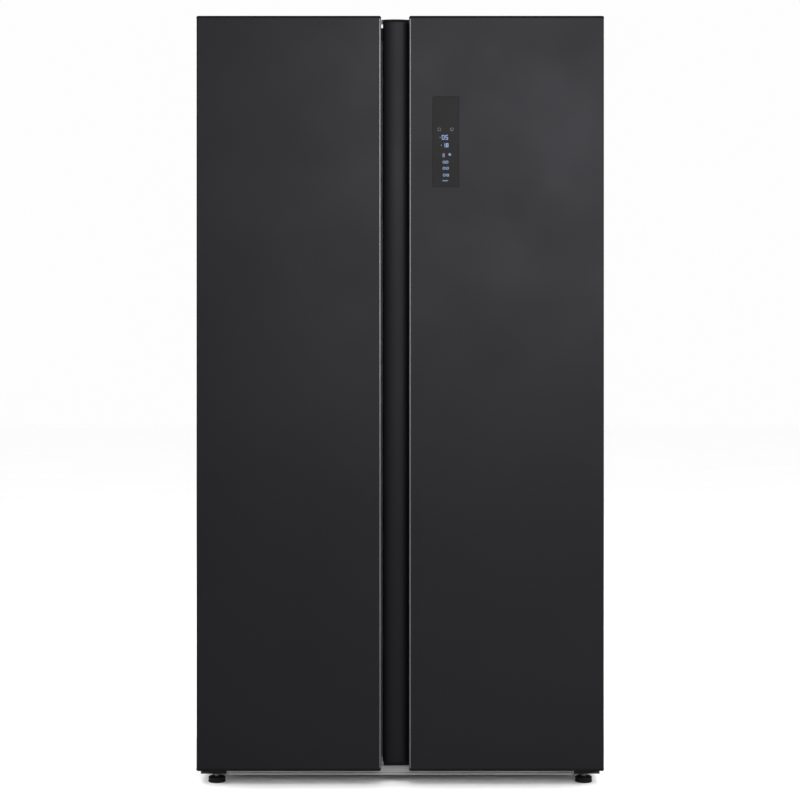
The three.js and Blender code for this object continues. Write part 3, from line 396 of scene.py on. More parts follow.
def screw(name, centre, axis, out, body, radius=4.2, look=None):
    """A pan-head screw with a cross recess, standing on a face; out is 1 or -1 along the axis."""
    profile = [(0, -1.0), (radius, -1.0), (radius, 0.6), (radius * 0.92, 1.3), (radius * 0.7, 1.9),
               (radius * 0.4, 2.25), (0, 2.35)]
    head = turned(name, [(r, out * h) for r, h in profile], (0, 0, 0), axis, 24)
    arm = radius * 0.62
    cutters = []
    for k in range(2):
        size = {"z": [arm, 0.55, 1.1], "y": [arm, 1.1, 0.55], "x": [1.1, arm, 0.55]}[axis]
        if k:
            size = {"z": [0.55, arm, 1.1], "y": [0.55, 1.1, arm], "x": [1.1, 0.55, arm]}[axis]
        middle = [2.4 * out if letter == axis else 0.0 for letter in "xyz"]
        cutters.append(block(f"{name}_cut{k}", [m - s for m, s in zip(middle, size)],
                             [m + s for m, s in zip(middle, size)], 0.1, 1))
    cut(head, *cutters)
    head.location = Vector(centre) * MM
    return settle(head, look or SCREW, body)


# ------------------------------------------------------------------ doors
FRONT = limits("freezer_door_skin")[0][1]
SKIN_Z = (limits("freezer_door_skin")[0][2], limits("freezer_door_skin")[1][2])
SKIN_BACK = limits("freezer_door_skin")[1][1]
LIP_BACK = FRONT + 16
CAP_LAP = 1.2  # how far the end caps lap over the skin
EDGES = {"freezer": (-1, limits("freezer_door_skin")[0][0], limits("freezer_door_skin")[1][0]),
         "fridge": (1, limits("fridge_door_skin")[1][0], limits("fridge_door_skin")[0][0])}


def door_skin(name):
    """The door's outer steel: flat front, rounded bends, a return behind the free edge."""
    sign, outer, edge = EDGES[name]
    path = [(outer - sign * 6, SKIN_BACK), (outer, SKIN_BACK), (outer, FRONT), (edge, FRONT),
            (edge, LIP_BACK), (edge + sign * 6, LIP_BACK)]
    if sign > 0:
        path.reverse()
    return prism(f"{name}_door_front", bent_sheet(path, 1.0, 3.0, 10), "z",
                 SKIN_Z[0] + CAP_LAP, SKIN_Z[1] - CAP_LAP, edge=0.0)


def screen_outline(grow, corner):
    """The display panel's outline, grown by a margin."""
    return round_rect(screen_low[0] - grow, screen_high[0] + grow, screen_low[2] - grow,
                      screen_high[2] + grow, corner)


def edge_strip(name):
    """A steel strip round the bend at a door's free edge, lighter than the door: a painted highlight along
    the bend.
    """
    sign, _, edge = EDGES[name]
    outside = edge - sign * 0.25
    path = [(edge + sign * 3.2, FRONT - 0.25), (outside, FRONT - 0.25), (outside, LIP_BACK - 3)]
    if sign > 0:
        path.reverse()
    strip = prism(f"{name}_door_edge_strip", bent_sheet(path, 0.5, 2.8, 8), "z",
                  SKIN_Z[0] + 3, SKIN_Z[1] - 3, edge=0.0)
    settle(strip, EDGE_HIGHLIGHT_STEEL, f"{name}_door")


settle(door_skin("freezer"), DOOR, "freezer_door", ["freezer_door_skin"])
right_front = door_skin("fridge")
screen_low, screen_high = limits("display_panel")
hole = prism("hole", screen_outline(0.2, 2.4), "y", FRONT - 5, FRONT + 5, edge=0.0)
settle(cut(right_front, hole), DOOR, "fridge_door", ["fridge_door_skin"])

for name in EDGES:
    edge_strip(name)

grip_low, grip_high = limits("freezer_door_grip")
settle(
    prism(
        "freezer_door_finger_pocket",
        bent_sheet([(-49.5, LIP_BACK), (-62, LIP_BACK), (-62, -284), (-43.5, -284), (-43.5, SKIN_BACK - 1.3)],
                   2.5, 4.0, 8),
        "z", grip_low[2], grip_high[2], edge=0.0),
    GRIP, "freezer_door", ["freezer_door_grip"])


def column_face(x):
    """The grip column's face: how far back it lies at x."""
    return -290 + 13 * ((x + 12) / 52) ** 2


column_low, column_high = limits("fridge_door_grip")
COLUMN_LEFT = -39.2
face = [(x, column_face(x)) for x in range(-33, 37, 2)]
settle(
    prism(
        "fridge_door_column",
        bent_sheet([(COLUMN_LEFT, SKIN_BACK - 1.3), (COLUMN_LEFT, column_face(COLUMN_LEFT)), *face,
                    (40, column_face(40)), (40, LIP_BACK), (26.5, LIP_BACK)], 2.5, 2.8, 8),
        "z", column_low[2], column_high[2] + 2.9, edge=0.0),
    GRIP, "fridge_door", ["fridge_door_grip"], sharp=45)

CAP_HIGH = 5.4
CAP_CORNER = 4.2
COLUMN_CAP_HIGH = 7.2


def column_cap(end, low, high):
    """The moulded end of the grip column."""
    if end == "top":
        z = (high[2] - COLUMN_CAP_HIGH, high[2] - 0.4)
    else:
        z = (column_low[2] - 7.8, column_low[2] - 0.4)
    rim = [(x, column_face(x) - 0.4) for x in range(-34, 38, 4)]
    outline = [(-37.7, SKIN_BACK), (-37.7, column_face(-37.7) + 2.5), (-36.4, column_face(-36) + 0.3), *rim,
               (41.5, column_face(40)), (42.5, SKIN_BACK)]
    settle(prism(f"fridge_door_{end}_cap_column", outline, "z", *z, 0.9, 2), CAP, "fridge_door")


def door_cap(door, end):
    """A moulded end cap: the plate over the door's end, and a small bridge at the top of the gap."""
    low, high = limits(f"{door}_door_{end}_cap")
    _, outer, edge = EDGES[door]
    x0, x1 = min(outer, edge) - 0.3, max(outer, edge) + 0.3
    way, end_z = (1, high[2]) if end == "top" else (-1, low[2])
    quarter = [math.radians(a) for a in (0, 22.5, 45, 67.5, 90)]
    bend = [(CAP_CORNER * (1 - math.cos(a)), CAP_CORNER * (1 - math.sin(a))) for a in quarter]
    plate = [(x0, end_z - way * CAP_HIGH), (x1, end_z - way * CAP_HIGH)]
    plate += [(x1 - across, end_z - way * down) for across, down in bend]
    plate += [(x0 + across, end_z - way * down) for across, down in reversed(bend)]
    settle(prism(f"{door}_door_{end}_cap_plate", plate, "y", FRONT - 0.3, SKIN_BACK, 0.9, 3),
           CAP, f"{door}_door", [f"{door}_door_{end}_cap"])
    if door == "fridge":
        column_cap(end, low, high)
    if end == "top":
        left, right = {"freezer": (-43.4, -42.0), "fridge": (-41.3, -35.0)}[door]
        bridge = block(f"{door}_door_cap_bridge", (left, -287, high[2] - 8.5),
                       (right, -270, high[2] - 0.6), 0.5, 2)
        settle(bridge, CAP, f"{door}_door")


def door_foam(door):
    """The foam core: a slab behind the skin, which on the fridge door also backs the column."""
    low, high = limits(f"{door}_door_foam")
    back = SKIN_BACK - 3
    if door == "freezer":
        outline = [(low[0], low[1]), (high[0], low[1]), (high[0], back), (low[0], back)]
    else:
        outline = [(low[0], -272), (43, -272), (43, low[1]), (high[0], low[1]), (high[0], back),
                   (low[0], back)]
    core = prism(f"{door}_door_foam_core", outline, "z", low[2], high[2], 0.0)
    if door == "fridge":
        pocket = prism("pocket", screen_outline(3, 2), "y", low[1] - 5, screen_high[1] + 0.6, edge=0.0)
        cut(core, pocket)
    settle(core, FOAM, f"{door}_door", [f"{door}_door_foam"])


for door in ("freezer", "fridge"):
    door_cap(door, "top")
    door_cap(door, "bottom")
    door_foam(door)
bezel = prism("display_bezel", screen_outline(2.5, 3.5), "y", FRONT + 1.05, screen_high[1] + 0.5, edge=0.2)
recess = prism("recess", screen_outline(0.15, 2.3), "y", FRONT - 3, screen_high[1] + 0.1, edge=0.0)
settle(cut(bezel, recess), CAP, "fridge_door")


def gasket(door):
    """A magnetic gasket: one closed ring with a bellows on each side."""
    low, high = limits(f"{door}_door_gasket")
    profile = [(3.2, 0.0), (0.8, 0.9), (0.5, 1.5), (3.0, 2.4), (0.4, 3.2), (0.0, 4.2), (0.3, 5.5),
               (1.0, 5.9), (7.0, 5.9), (8.0, 5.5), (9.0, 5.9), (15.0, 5.9), (15.7, 5.5), (16.0, 4.2),
               (15.6, 3.2), (13.0, 2.4), (15.5, 1.5), (15.2, 0.9), (12.8, 0.0)]
    rings = []
    for in_by, depth in profile:
        outline = round_rect(low[0] + in_by, high[0] - in_by, low[2] + in_by, high[2] - in_by,
                             max(2.0, 18.0 - in_by), 5)
        rings.append(along("y", outline, low[1] + depth))
    bm = bmesh.new()
    loft(bm, rings, closed=True)
    settle(object_of(f"{door}_door_bellows_gasket", bm), GASKET, f"{door}_door", [f"{door}_door_gasket"], 50)


gasket("freezer")
gasket("fridge")

# ------------------------------------------------------------------ display
settle(prism("display_glass_panel",
             screen_outline(0, 2.2),
             "y", screen_low[1] + 0.25, screen_high[1], edge=0.5),
       SCREEN, "fridge_door", ["display_panel"])
LIT_Y = FRONT + 0.05
LIT_DEEP = 0.3
STROKE_GAP = 0.12  # cleared at every side of a stroke, so that the segments stand apart
SEGMENTS = {"0": "abcdef", "1": "bc", "5": "acdfg", "8": "abcdefg", "-": "g"}


def mark(bm, x0, x1, z0, z1):
    """One lit stroke."""
    made = bmesh.ops.create_cube(bm, size=1.0)["verts"]
    bmesh.ops.scale(bm, vec=(x1 - x0, LIT_DEEP, z1 - z0), verts=made)
    bmesh.ops.translate(bm, vec=((x0 + x1) / 2, LIT_Y + LIT_DEEP / 2, (z0 + z1) / 2), verts=made)


def digits(name, text, left, middle, high, look, stroke=1.3):
    """Seven-segment digits."""
    wide = high * 0.56
    bm = bmesh.new()
    x = left
    for letter in text:
        w = wide if letter != "-" else wide * 0.55
        low, top = middle - high / 2, middle + high / 2
        bars = {
            "a": (x, x + w, top - stroke, top), "d": (x, x + w, low, low + stroke),
            "g": (x, x + w, middle - stroke / 2, middle + stroke / 2),
            "f": (x, x + stroke, middle, top), "b": (x + w - stroke, x + w, middle, top),
            "e": (x, x + stroke, low, middle), "c": (x + w - stroke, x + w, low, middle),
        }
        for segment in SEGMENTS[letter]:
            a, b, c, d = bars[segment]
            mark(bm, a + STROKE_GAP, b - STROKE_GAP, c + STROKE_GAP, d - STROKE_GAP)
        x += w + high * 0.2
    settle(object_of(name, bm), look, "fridge_door")


def outline_mark(name, shapes, look, width=0.55):
    """Icons drawn as closed line shapes: each is a list of (x, z) points."""
    bm = bmesh.new()
    for points in shapes:
        inner = inset(points, width)
        rings = [along("y", points, LIT_Y), along("y", inner, LIT_Y), along("y", inner, LIT_Y + LIT_DEEP),
                 along("y", points, LIT_Y + LIT_DEEP)]
        loft(bm, rings, closed=True)
    settle(object_of(name, bm), look, "fridge_door")


def circle(x, z, r, count=20):
    """The points of a circle."""
    return [(x + r * math.cos(2 * math.pi * i / count), z + r * math.sin(2 * math.pi * i / count))
            for i in range(count)]


digits("digits_fridge", "05", 93.2, 1461.0, 10.4, DIGIT)
digits("digits_fridge_sign", "-", 88.4, 1461.0, 6.0, DIGIT)
digits("digits_freezer", "18", 95.4, 1443.4, 9.4, DIGIT)
digits("digits_freezer_sign", "-", 91.0, 1443.4, 6.0, DIGIT)
outline_mark("icon_doors", [round_rect(84.0, 90.8, 1475.4, 1482.2, 1.2, 3)], ICON_DIM, 0.6)
outline_mark("icon_clock", [round_rect(112.0, 118.8, 1475.4, 1482.2, 2.6, 4)], ICON_DIM, 0.7)
outline_mark("icon_bottle", [round_rect(94.8, 99.4, 1416.6, 1425.0, 1.2, 2)], ICON_BLUE, 1.6)
outline_mark("icon_drop", [circle(110.8, 1422.6, 2.5)], DIGIT, 1.1)
ICON_PAIRS = ((1405.6, 98.0, 104.6), (1391.8, 98.2, 105.8), (1376.4, 98.6, 106.2))
for row, (height, left, right) in enumerate(ICON_PAIRS):
    outline_mark(f"icon_pair_{row}", [circle(left, height, 3.0), circle(right, height, 3.1)], DIGIT, 0.75)
outline_mark("icon_pair_core", [circle(106.2, 1376.4, 1.5, 12)], ICON_DIM, 0.6)
outline_mark("icon_line", [round_rect(94.2, 107.0, 1362.8, 1365.2, 0.6, 2)], ICON_BLUE, 1.0)

# ------------------------------------------------------------------ cabinet outside
case_low, case_high = limits("outer_case")
side, top, skirt = case_high[0], case_high[2], case_low[2]
wrap = prism("outer_case_wrap",
             bent_sheet([(side, skirt), (side, top), (-side, top), (-side, skirt)], 1.0, 6.0, 12),
             "y", case_low[1], case_high[1], edge=0.0)
settle(wrap, CASE, "cabinet", ["outer_case"])
post_top = limits("centre_post_frame")[1][2]
LANDING = 32
CASE_IN = 0.7  # the landing lies this far inside the case's outline
landing = block("case_front_landing", (CASE_IN - side, case_low[1], post_top - 1642),
                (side - CASE_IN, case_low[1] + 1.0, top - CASE_IN), 0.3, 1)
# A darker strip on the post between the gaskets: painted shade in the gap between the doors.
settle(block("centre_post_shade_strip", (-47.5, case_low[1] - 1.1, 62), (-32.5, case_low[1] + 0.2, post_top + 3),
             0.4, 2),
       POST_SHADE_GREY, "cabinet")
hole = prism("hole", round_rect(LANDING - side, side - LANDING, 0, top - LANDING, 3), "y", -300, -200,
             edge=0.0)
settle(cut(landing, hole), CASE, "cabinet")
soften("rear_panel", ZINC, 0.8, 3)
soften("centre_post_frame", SILVER, 0.15, 1)
# The base frame's near-black colour is painted shade under the cabinet.
soften("base_frame", BASE_SHADE_GREY, 0)
soften("cabinet_foam", FOAM, 0)
soften("machine_cover", ZINC, 0.2, 1)
soften("cord_gland", RUBBER, 0.5, 2)


def foot(name):
    """A levelling foot: a moulded disc with a waist, on a threaded stud."""
    low, high = limits(name)
    centre = ((low[0] + high[0]) / 2, (low[1] + high[1]) / 2, 0)
    r = (high[0] - low[0]) / 2
    disc = [(0, 0), (r - 1.6, 0), (r - 0.4, 0.5), (r, 1.5), (r, 4.0), (r - 0.7, 4.6), (r - 0.7, 9.4),
            (r, 10.0), (r - 0.3, 11.6), (r - 2.4, 13.3), (9.6, 14.0), (0, 14.2)]
    settle(turned(f"{name}_disc", disc, centre, "z", 48), BLACK, name, [name])
    crest, root, pitch = 5.0, 4.4, 1.5
    thread = [(0, 13.6), (crest, 13.6)]
    for k in range(int((high[2] - 16) / pitch)):
        thread += [(crest, 14.6 + pitch * k), (root, 15.3 + pitch * k)]
    thread += [(4.6, high[2]), (0, high[2])]
    settle(turned(f"{name}_stud", thread, centre, "z", 28), ZINC, name)


for name, sign in (("left", -1), ("right", 1)):
    soften(f"top_hinge_{name}", ZINC, 0.5, 2)
    soften(f"hinge_cover_{name}", BLACK, 1.2, 3)
    soften(f"bottom_hinge_{name}", BLACK_STEEL, 0.5, 2)
    soften(f"roller_{name}", BLACK, 0.6, 2)
    foot(f"foot_{name}")
    for k, (x, z) in enumerate(((404.0, 49.5), (442.0, 49.5))):
        screw(f"bottom_hinge_{name}_screw_{k}", (sign * x, -257.1, z), "y", -1, "cabinet", 4.0, BLACK_STEEL)
    screw(f"hinge_cover_{name}_screw", (sign * 372.0, -178.0, 1745.0), "z", 1, "cabinet", 4.0)

cover_low, cover_high = limits("machine_cover")
for k, x in enumerate((-436, -180, 0, 180, 350, 436)):
    for row, z in enumerate((cover_low[2] + 10, cover_high[2] - 9)):
        screw(f"machine_cover_screw_{k}_{row}", (x, cover_high[1], z), "y", 1, "cabinet")
PANEL_BACK = 322.0
panel_top = limits("rear_panel")[1][2]
for k, x in enumerate((-444, -220, 0, 220, 444)):
    screw(f"rear_panel_screw_top_{k}", (x, PANEL_BACK, panel_top - 12), "y", 1, "cabinet")
for name, x in (("left", -444), ("right", 444)):
    for k, z in enumerate((420, 740, 1060, 1380)):
        screw(f"rear_panel_screw_{name}_{k}", (x, PANEL_BACK, z), "y", 1, "cabinet")


# ------------------------------------------------------------------ inside
def blocks(name, boxes, edge, look, body, replaces=()):
    """Several rounded boxes moulded as one piece."""
    bm = bmesh.new()
    for low, high in boxes:
        size = [h - l for l, h in zip(low, high)]
        verts = bmesh.ops.create_cube(bm, size=1.0)["verts"]
        bmesh.ops.scale(bm, vec=size, verts=verts)
        bmesh.ops.translate(bm, vec=[(l + h) / 2 for l, h in zip(low, high)], verts=verts)
    bmesh.ops.bevel(bm, geom=bm.edges[:], offset=edge, segments=3, profile=0.5, affect="EDGES")
    return settle(object_of(name, bm), look, body, replaces)


def ring_loft(name, x, z, y, profile, corner, look, body, replaces=()):
    """A closed ring round a rectangle in the front plane: profile is (inwards, depth) points."""
    rings = []
    for in_by, depth in profile:
        outline = round_rect(x[0] + in_by, x[1] - in_by, z[0] + in_by, z[1] - in_by,
                             max(1.5, corner - in_by), 6)
        rings.append(along("y", outline, y + depth))
    bm = bmesh.new()
    loft(bm, rings, closed=True)
    return settle(object_of(name, bm), look, body, replaces, 50)


CAB_FRONT = case_low[1]
LINER = 2.0
ROOM_CORNER = 12.0
FLARE = 1.6
rooms = {}
for name in ("freezer", "fridge"):
    low, high = limits(f"{name}_shelf_lower")
    rooms[name] = {"x": (low[0] - 2.5, high[0] + 2.5), "floor": 85.0, "ceiling": 1660.0, "back": 262.0,
                   "step_y": 85.0, "step_z": 310.0}


def room_solid(name, room, y0, y1, z0, z1):
    """Part of a compartment's inside, every corner rounded but at the front, where it flares a little."""
    r = ROOM_CORNER
    front = [math.radians(a) for a in (0, 30, 60, 90)]
    rear = [math.radians(a) for a in (0, 22.5, 45, 67.5, 90)]
    rings = [(-FLARE, y0 - 8)]
    rings += [(-FLARE * (1 - math.sin(a)), y0 + FLARE * (1 - math.cos(a))) for a in front]
    rings += [(r * (1 - math.cos(a)), y1 - r * (1 - math.sin(a))) for a in rear]
    x0, x1 = room["x"]
    bm = bmesh.new()
    loft(bm, [along("y", round_rect(x0 + g, x1 - g, z0 + g, z1 - g, max(1.0, r - g), 5), y)
              for g, y in rings])
    return object_of(name, bm)


def liner(name):
    """A vacuum-formed liner: its room with rounded corners, its front flange, ledges and floor ribs."""
    room = rooms[name]
    low, high = limits(f"{name}_liner")
    x0, x1 = room["x"]
    shell = bmesh.new()
    outline = [(CAB_FRONT, room["floor"] - LINER), (room["step_y"] + LINER, room["floor"] - LINER),
               (room["step_y"] + LINER, room["step_z"] - LINER),
               (room["back"] + LINER, room["step_z"] - LINER),
               (room["back"] + LINER, room["ceiling"] + LINER), (CAB_FRONT, room["ceiling"] + LINER)]
    loft(shell, [along("x", outline, x0 - LINER), along("x", outline, x1 + LINER)])
    body = object_of(f"{name}_room", shell)
    cut(body,
        room_solid("front_room", room, CAB_FRONT, room["step_y"], room["floor"], room["ceiling"]),
        room_solid("back_room", room, -100, room["back"], room["step_z"], room["ceiling"]))
    settle(body, WHITE, "cabinet", [f"{name}_liner"], 30)
    flange = prism("flange", round_rect(low[0], high[0], low[2], high[2], 4), "y",
                   CAB_FRONT, CAB_FRONT + LINER, 0.6)
    hole = prism("hole", round_rect(x0 - 1.9, x1 + 1.9, room["floor"] - 1.9, room["ceiling"] + 1.9, 13), "y",
                 CAB_FRONT - 9, CAB_FRONT + 9, edge=0.0)
    flange.name = f"{name}_liner_flange"
    settle(cut(flange, hole), WHITE, "cabinet")
    shelves = [node for node in nodes if node.startswith(f"{name}_shelf")]
    if name == "fridge":
        shelves.append("crisper_cover")
    ledges = [(limits(node)[0][2] - 0.3, limits(node)[1][1], 8.0) for node in shelves]
    drawer = "freezer_drawer_upper" if name == "freezer" else "crisper_upper"
    ledges.append((limits(drawer)[0][2] - 0.3, room["step_y"], 5.5))
    boxes = []
    for z, back, tall in ledges:
        for a, b in ((x0 - 1.5, x0 + 10), (x1 - 10, x1 + 1.5)):
            boxes.append(((a, -135, z - tall), (b, back, z)))
    for x in (x0 + 40, x1 - 40):
        boxes.append(((x - 5, -135, room["floor"] - 1), (x + 5, room["step_y"] - 10, room["floor"] + 6)))
    blocks(f"{name}_liner_ledges", boxes, 1.8, WHITE, "cabinet")
    half_lens = 48
    half_housing = half_lens + 8
    middle = (x0 + x1) / 2
    top = room["ceiling"]
    blocks(f"{name}_lamp_housing",
           [((middle - half_housing, -178, top - 7), (middle + half_housing, -132, top + 1))],
           3.0, WHITE_SATIN, "cabinet")
    blocks(f"{name}_lamp_lens",
           [((middle - half_lens, -170, top - 9.5), (middle + half_lens, -140, top - 5))],
           1.8, LAMP, "cabinet")


def shelf(node):
    """A pane with polished edges in a moulded frame: a deep front rail, a back rail and two slim sides."""
    low, high = limits(node)
    x, y, z = (low[0], high[0]), (low[1], high[1]), low[2]
    pane = block(f"{node}_pane", (x[0] + 3, y[0] + 4, z + 1.2), (x[1] - 3, y[1] - 3, z + 5.2), 0.8, 2)
    settle(pane, GLASS, "cabinet", [node])
    r = 3.4
    nose = round_rect(y[0], y[0] + 15, z, z + 16, r, 5)
    settle(prism(f"{node}_front_rail", nose, "x", x[0] + 0.3, x[1] - 0.3, 1.2), WHITE_SATIN, "cabinet")
    strip = round_rect(y[0] - 0.9, y[0] + 2.4, z + 4.6, z + 11.4, 1.2, 3)
    settle(prism(f"{node}_front_trim", strip, "x", x[0] + 4, x[1] - 4, 0.5), TRIM, "cabinet")
    back_rail = round_rect(y[1] - 8, y[1], z, z + 12, 2.2, 4)
    settle(prism(f"{node}_back_rail", back_rail, "x", x[0] + 0.3, x[1] - 0.3, 1.0), WHITE_SATIN, "cabinet")
    for end, a, b in (("left", x[0], x[0] + 8), ("right", x[1] - 8, x[1])):
        rail = round_rect(a + 0.3, b - 0.3, z, z + 8, 1.8, 3)
        settle(prism(f"{node}_{end}_rail", rail, "y", y[0] + 13, y[1] - 7, 0.4), WHITE_SATIN, "cabinet")


def tray_shell(name, x, y, z, wall, corner, foot, draft):
    """An injection-moulded tray: tapered walls, a rounded rim, rounded corners and foot."""
    turns = [math.radians(a) for a in (0, 22.5, 45, 67.5, 90)]
    inner = max(1.0, foot - wall)
    rings = [(draft + foot * (1 - math.sin(a)), z[0] + foot * (1 - math.cos(a))) for a in turns]
    rings += [(wall / 2 * (1 - math.cos(a)), z[1] - wall / 2 * (1 - math.sin(a))) for a in turns]
    rings += [(wall - wall / 2 * (1 - math.sin(a)), z[1] - wall / 2 * (1 - math.cos(a))) for a in turns[1:]]
    rings += [(wall + draft + inner * (1 - math.cos(a)), z[0] + wall + inner * (1 - math.sin(a)))
              for a in turns]
    bm = bmesh.new()
    loft(bm, [along("z", round_rect(x[0] + g, x[1] - g, y[0] + g, y[1] - g, max(1.0, corner - g), 6), h)
              for g, h in rings])
    return object_of(name, bm)


def door_bin(node, body):
    """A clear bin: high front and ends, which sweep down to a low back, and a bright trim along its front."""
    low, high = limits(node)
    tray = tray_shell(f"{node}_tray", (low[0], high[0]), (low[1], high[1]), (low[2], high[2]),
                      2.6, 16, 8, 2.0)
    z = low[2]
    sweep = [(low[1] + 46 + 26 * k / 10, z + 70 + 50 * (0.5 - 0.5 * math.cos(math.pi * k / 10)))
             for k in range(11)]
    outline = [(low[1] - 4, z + 70)] + sweep + [(low[1] + 72, z + 126), (low[1] - 4, z + 126)]
    cut(tray, prism("cutter", outline, "x", low[0] - 5, high[0] + 5, edge=0.0))
    settle(tray, CLEAR, body, [node], 40)
    bar = round_rect(high[1] - 4.2, high[1] + 0.8, high[2] - 15, high[2] + 0.4, 1.7, 4)
    settle(prism(f"{node}_front_trim", bar, "x", low[0] + 17, high[0] - 17, 1.2), TRIM, body)


def drawer(node):
    """A clear drawer with a frosted front, a curled grip under its rim and a bright strip along the top."""
    low, high = limits(node)
    y0 = low[1] + 16
    x, z = (low[0], high[0]), (low[2], high[2])
    tray = tray_shell(f"{node}_tray", x, (y0 + 1.5, high[1]), z, 2.6, 12, 9, 1.5)
    settle(tray, CLEAR, node, [node], 40)
    front = prism(f"{node}_front", round_rect(x[0], x[1], z[0], z[1], 9), "y", y0, y0 + 5, 1.4, 3)
    settle(front, FROST, node)
    curl = [(y0 + 2, z[1] - 5), (low[1], z[1] - 5), (low[1], z[1] - 24), (low[1] + 5, z[1] - 24)]
    grip = bent_sheet(curl, 2.4, 2.4, 6)
    settle(prism(f"{node}_grip", grip, "x", x[0] + 50, x[1] - 50, 0.5), FROST, node)
    strip = round_rect(y0 - 1.0, y0 + 6.2, z[1] - 4.0, z[1] + 0.5, 1.5, 4)
    settle(prism(f"{node}_top_trim", strip, "x", x[0] + 6, x[1] - 6, 0.8), TRIM, node)


def door_liner(name):
    """A door's vacuum-formed inner face: sheet, a hollow rim with rounded shoulders, and bin lugs."""
    low, high = limits(f"{name}_door_liner")
    body = f"{name}_door"
    sheet_back = SKIN_BACK + 1.0 + 1.5
    sheet = prism(f"{name}_door_inner_sheet",
                  round_rect(low[0] + 1.5, high[0] - 1.5, low[2] + 1, high[2] - 1, 5), "y",
                  low[1], sheet_back, 0.7)
    settle(sheet, WHITE, body, [f"{name}_door_liner"])
    hinge_clear, free_clear = (14, 18) if name == "freezer" else (18, 14)
    x = (rooms[name]["x"][0] + hinge_clear, rooms[name]["x"][1] - free_clear)
    z = (rooms[name]["floor"] + 12, rooms[name]["ceiling"] - 12)
    tall = high[1] - sheet_back
    wide = 18.0
    shoulder = [math.radians(a) for a in (0, 30, 60, 90)]
    profile = [(0.0, -1.0), (0.0, 0.0)]
    profile += [(2.0 + 5 * (1 - math.cos(a)), tall - 5 * (1 - math.sin(a))) for a in shoulder]
    profile += [(wide - 1.5 - 5 * (1 - math.sin(a)), tall - 5 * (1 - math.cos(a))) for a in shoulder]
    profile += [(wide, 4.0), (wide + 1.2, 1.2), (wide + 4.0, 0.0), (wide + 4.0, -1.0)]
    ring_loft(f"{name}_door_rim", x, z, sheet_back, profile, 30, WHITE, body)
    lugs = []
    for level in ("lower", "middle", "upper"):
        under = limits(f"{name}_bin_{level}")[0][2]
        for a, b in ((x[0] + wide - 2, x[0] + wide + 12), (x[1] - wide - 12, x[1] - wide + 2)):
            lugs.append(((a, sheet_back - 1.0, under - 14), (b, high[1] - 3, under - 0.3)))
    blocks(f"{name}_door_bin_lugs", lugs, 3.2, WHITE, body)


for name in rooms:
    liner(name)
    door_liner(name)
    for level in ("lower", "middle", "upper"):
        shelf(f"{name}_shelf_{level}")
        door_bin(f"{name}_bin_{level}", f"{name}_door")
shelf("crisper_cover")
for node in ("freezer_drawer_lower", "freezer_drawer_upper", "crisper_lower", "crisper_upper"):
    drawer(node)

soften("evaporator", ALUMINIUM, 0)
soften("evaporator_cover", WHITE_SATIN, 0.5, 2)
soften("evaporator_fan", WHITE_SATIN, 0.3, 1)
soften("fridge_air_duct", WHITE_SATIN, 0.8, 2)
soften("compressor", BLACK_STEEL, 1.0, 2)
soften("condenser_coil", COPPER, 0)
soften("condenser_fan_shroud", BLACK, 0.4, 1)
soften("condenser_fan", BLACK, 0.3, 1)
soften("drip_tray", BLACK, 0.4, 1)


# ------------------------------------------------------------------ studio
def stage():
    """A wide pale floor, which looks darker in reflections than it does to the camera."""
    bm = bmesh.new()
    outline = circle(0, 0, 60000, 96)
    bm.faces.new([bm.verts.new((x, y, 0)) for x, y in outline])
    floor = object_of("floor", bm)
    look = material("pale_floor", (0.94, 0.94, 0.94), 0.6, shade=(0.7, 0.008), worn=(3.0, 0.04),
                    relief=(300.0, 0.02, 0.05))
    floor.data.materials.append(look)
    tree = look.node_tree
    base = tree.nodes["Principled BSDF"].inputs["Base Color"]
    plain = base.links[0].from_socket
    mirrored = tree.nodes.new("ShaderNodeMix")
    mirrored.data_type = "RGBA"
    mirrored.inputs[7].default_value = (0.50, 0.50, 0.50, 1.0)
    tree.links.new(plain, mirrored.inputs[6])
    tree.links.new(tree.nodes.new("ShaderNodeLightPath").outputs["Is Glossy Ray"], mirrored.inputs["Factor"])
    tree.links.new(mirrored.outputs[2], base)
    return floor


def lamp(name, place, aim, size, power):
    """A rectangular softbox, aimed at a point."""
    light = bpy.data.lights.new(name, "AREA")
    light.shape = "RECTANGLE"
    light.size, light.size_y = size
    light.energy = power
    made = bpy.data.objects.new(name, light)
    made.location = place
    made.rotation_euler = (Vector(aim) - Vector(place)).to_track_quat("-Z", "Y").to_euler()
    bpy.context.scene.collection.objects.link(made)


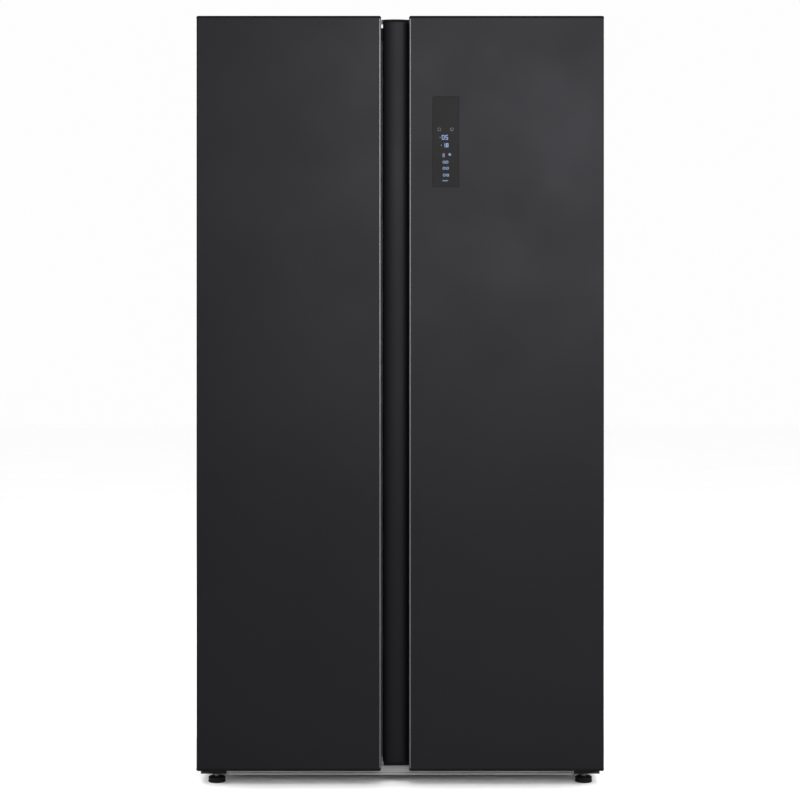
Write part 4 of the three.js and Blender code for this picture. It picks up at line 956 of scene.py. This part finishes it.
floor = stage()
lamp("softbox_front", (0.8, -5.4, 2.3), (0.1, 0.0, 1.0), (3.0, 2.4), 184)
lamp("softbox_top", (0.0, -2.6, 4.2), (0.0, -1.0, 0.0), (4.0, 3.0), 30)
floor_light = bpy.data.lights.new("floor_light", "SUN")
floor_light.energy = 1.25
floor_light.angle = math.radians(4)
floor_lamp = bpy.data.objects.new("floor_light", floor_light)
floor_lamp.rotation_euler = (math.radians(56), 0.0, 0.0)
bpy.context.scene.collection.objects.link(floor_lamp)
lit_floor = bpy.data.collections.new("lit_floor")
lit_floor.objects.link(floor)
floor_lamp.light_linking.receiver_collection = lit_floor
for side_name, x in (("left", -1), ("right", 1)):
    lamp(f"softbox_{side_name}", (4.4 * x, -3.9, 1.15), (0.0, 0.0, 0.9), (2.2, 1.6), 34)
    lamp(f"softbox_side_{side_name}", (5.2 * x, 1.2, 2.4), (0.0, 0.0, 0.9), (2.6, 2.2), 60)
lamp("softbox_back", (0.0, 3.8, 3.6), (0.0, 0.8, 0.0), (5.0, 2.4), 30)

world = bpy.data.worlds.new("studio")
bpy.context.scene.world = world
world.use_nodes = True
tree = world.node_tree
background = tree.nodes["Background"]
seen = tree.nodes.new("ShaderNodeBackground")
seen.inputs["Color"].default_value = (0.985, 0.985, 0.985, 1.0)
seen.inputs["Strength"].default_value = 1.0
background.inputs["Color"].default_value = (1.0, 1.0, 1.0, 1.0)
background.inputs["Strength"].default_value = 0.93
mirror = tree.nodes.new("ShaderNodeBackground")
mirror.inputs["Strength"].default_value = 0.62
ray = tree.nodes.new("ShaderNodeLightPath")
lit = background.outputs["Background"]
for kind, shown in (("Is Glossy Ray", mirror), ("Is Camera Ray", seen)):
    choose = tree.nodes.new("ShaderNodeMixShader")
    tree.links.new(ray.outputs[kind], choose.inputs["Fac"])
    tree.links.new(lit, choose.inputs[1])
    tree.links.new(shown.outputs["Background"], choose.inputs[2])
    lit = choose.outputs["Shader"]
tree.links.new(lit, tree.nodes["World Output"].inputs["Surface"])
bpy.context.scene.view_settings.view_transform = "Standard"

camera_data = bpy.data.cameras.new("camera")
camera_data.sensor_width = 36.0
camera_data.lens = 80.45
camera = bpy.data.objects.new("camera", camera_data)
camera.location = (-0.0005, FRONT * MM - 4.0, 0.8733)
camera.rotation_euler = (math.radians(90), 0.0, 0.0)
bpy.context.scene.collection.objects.link(camera)
bpy.context.scene.camera = camera
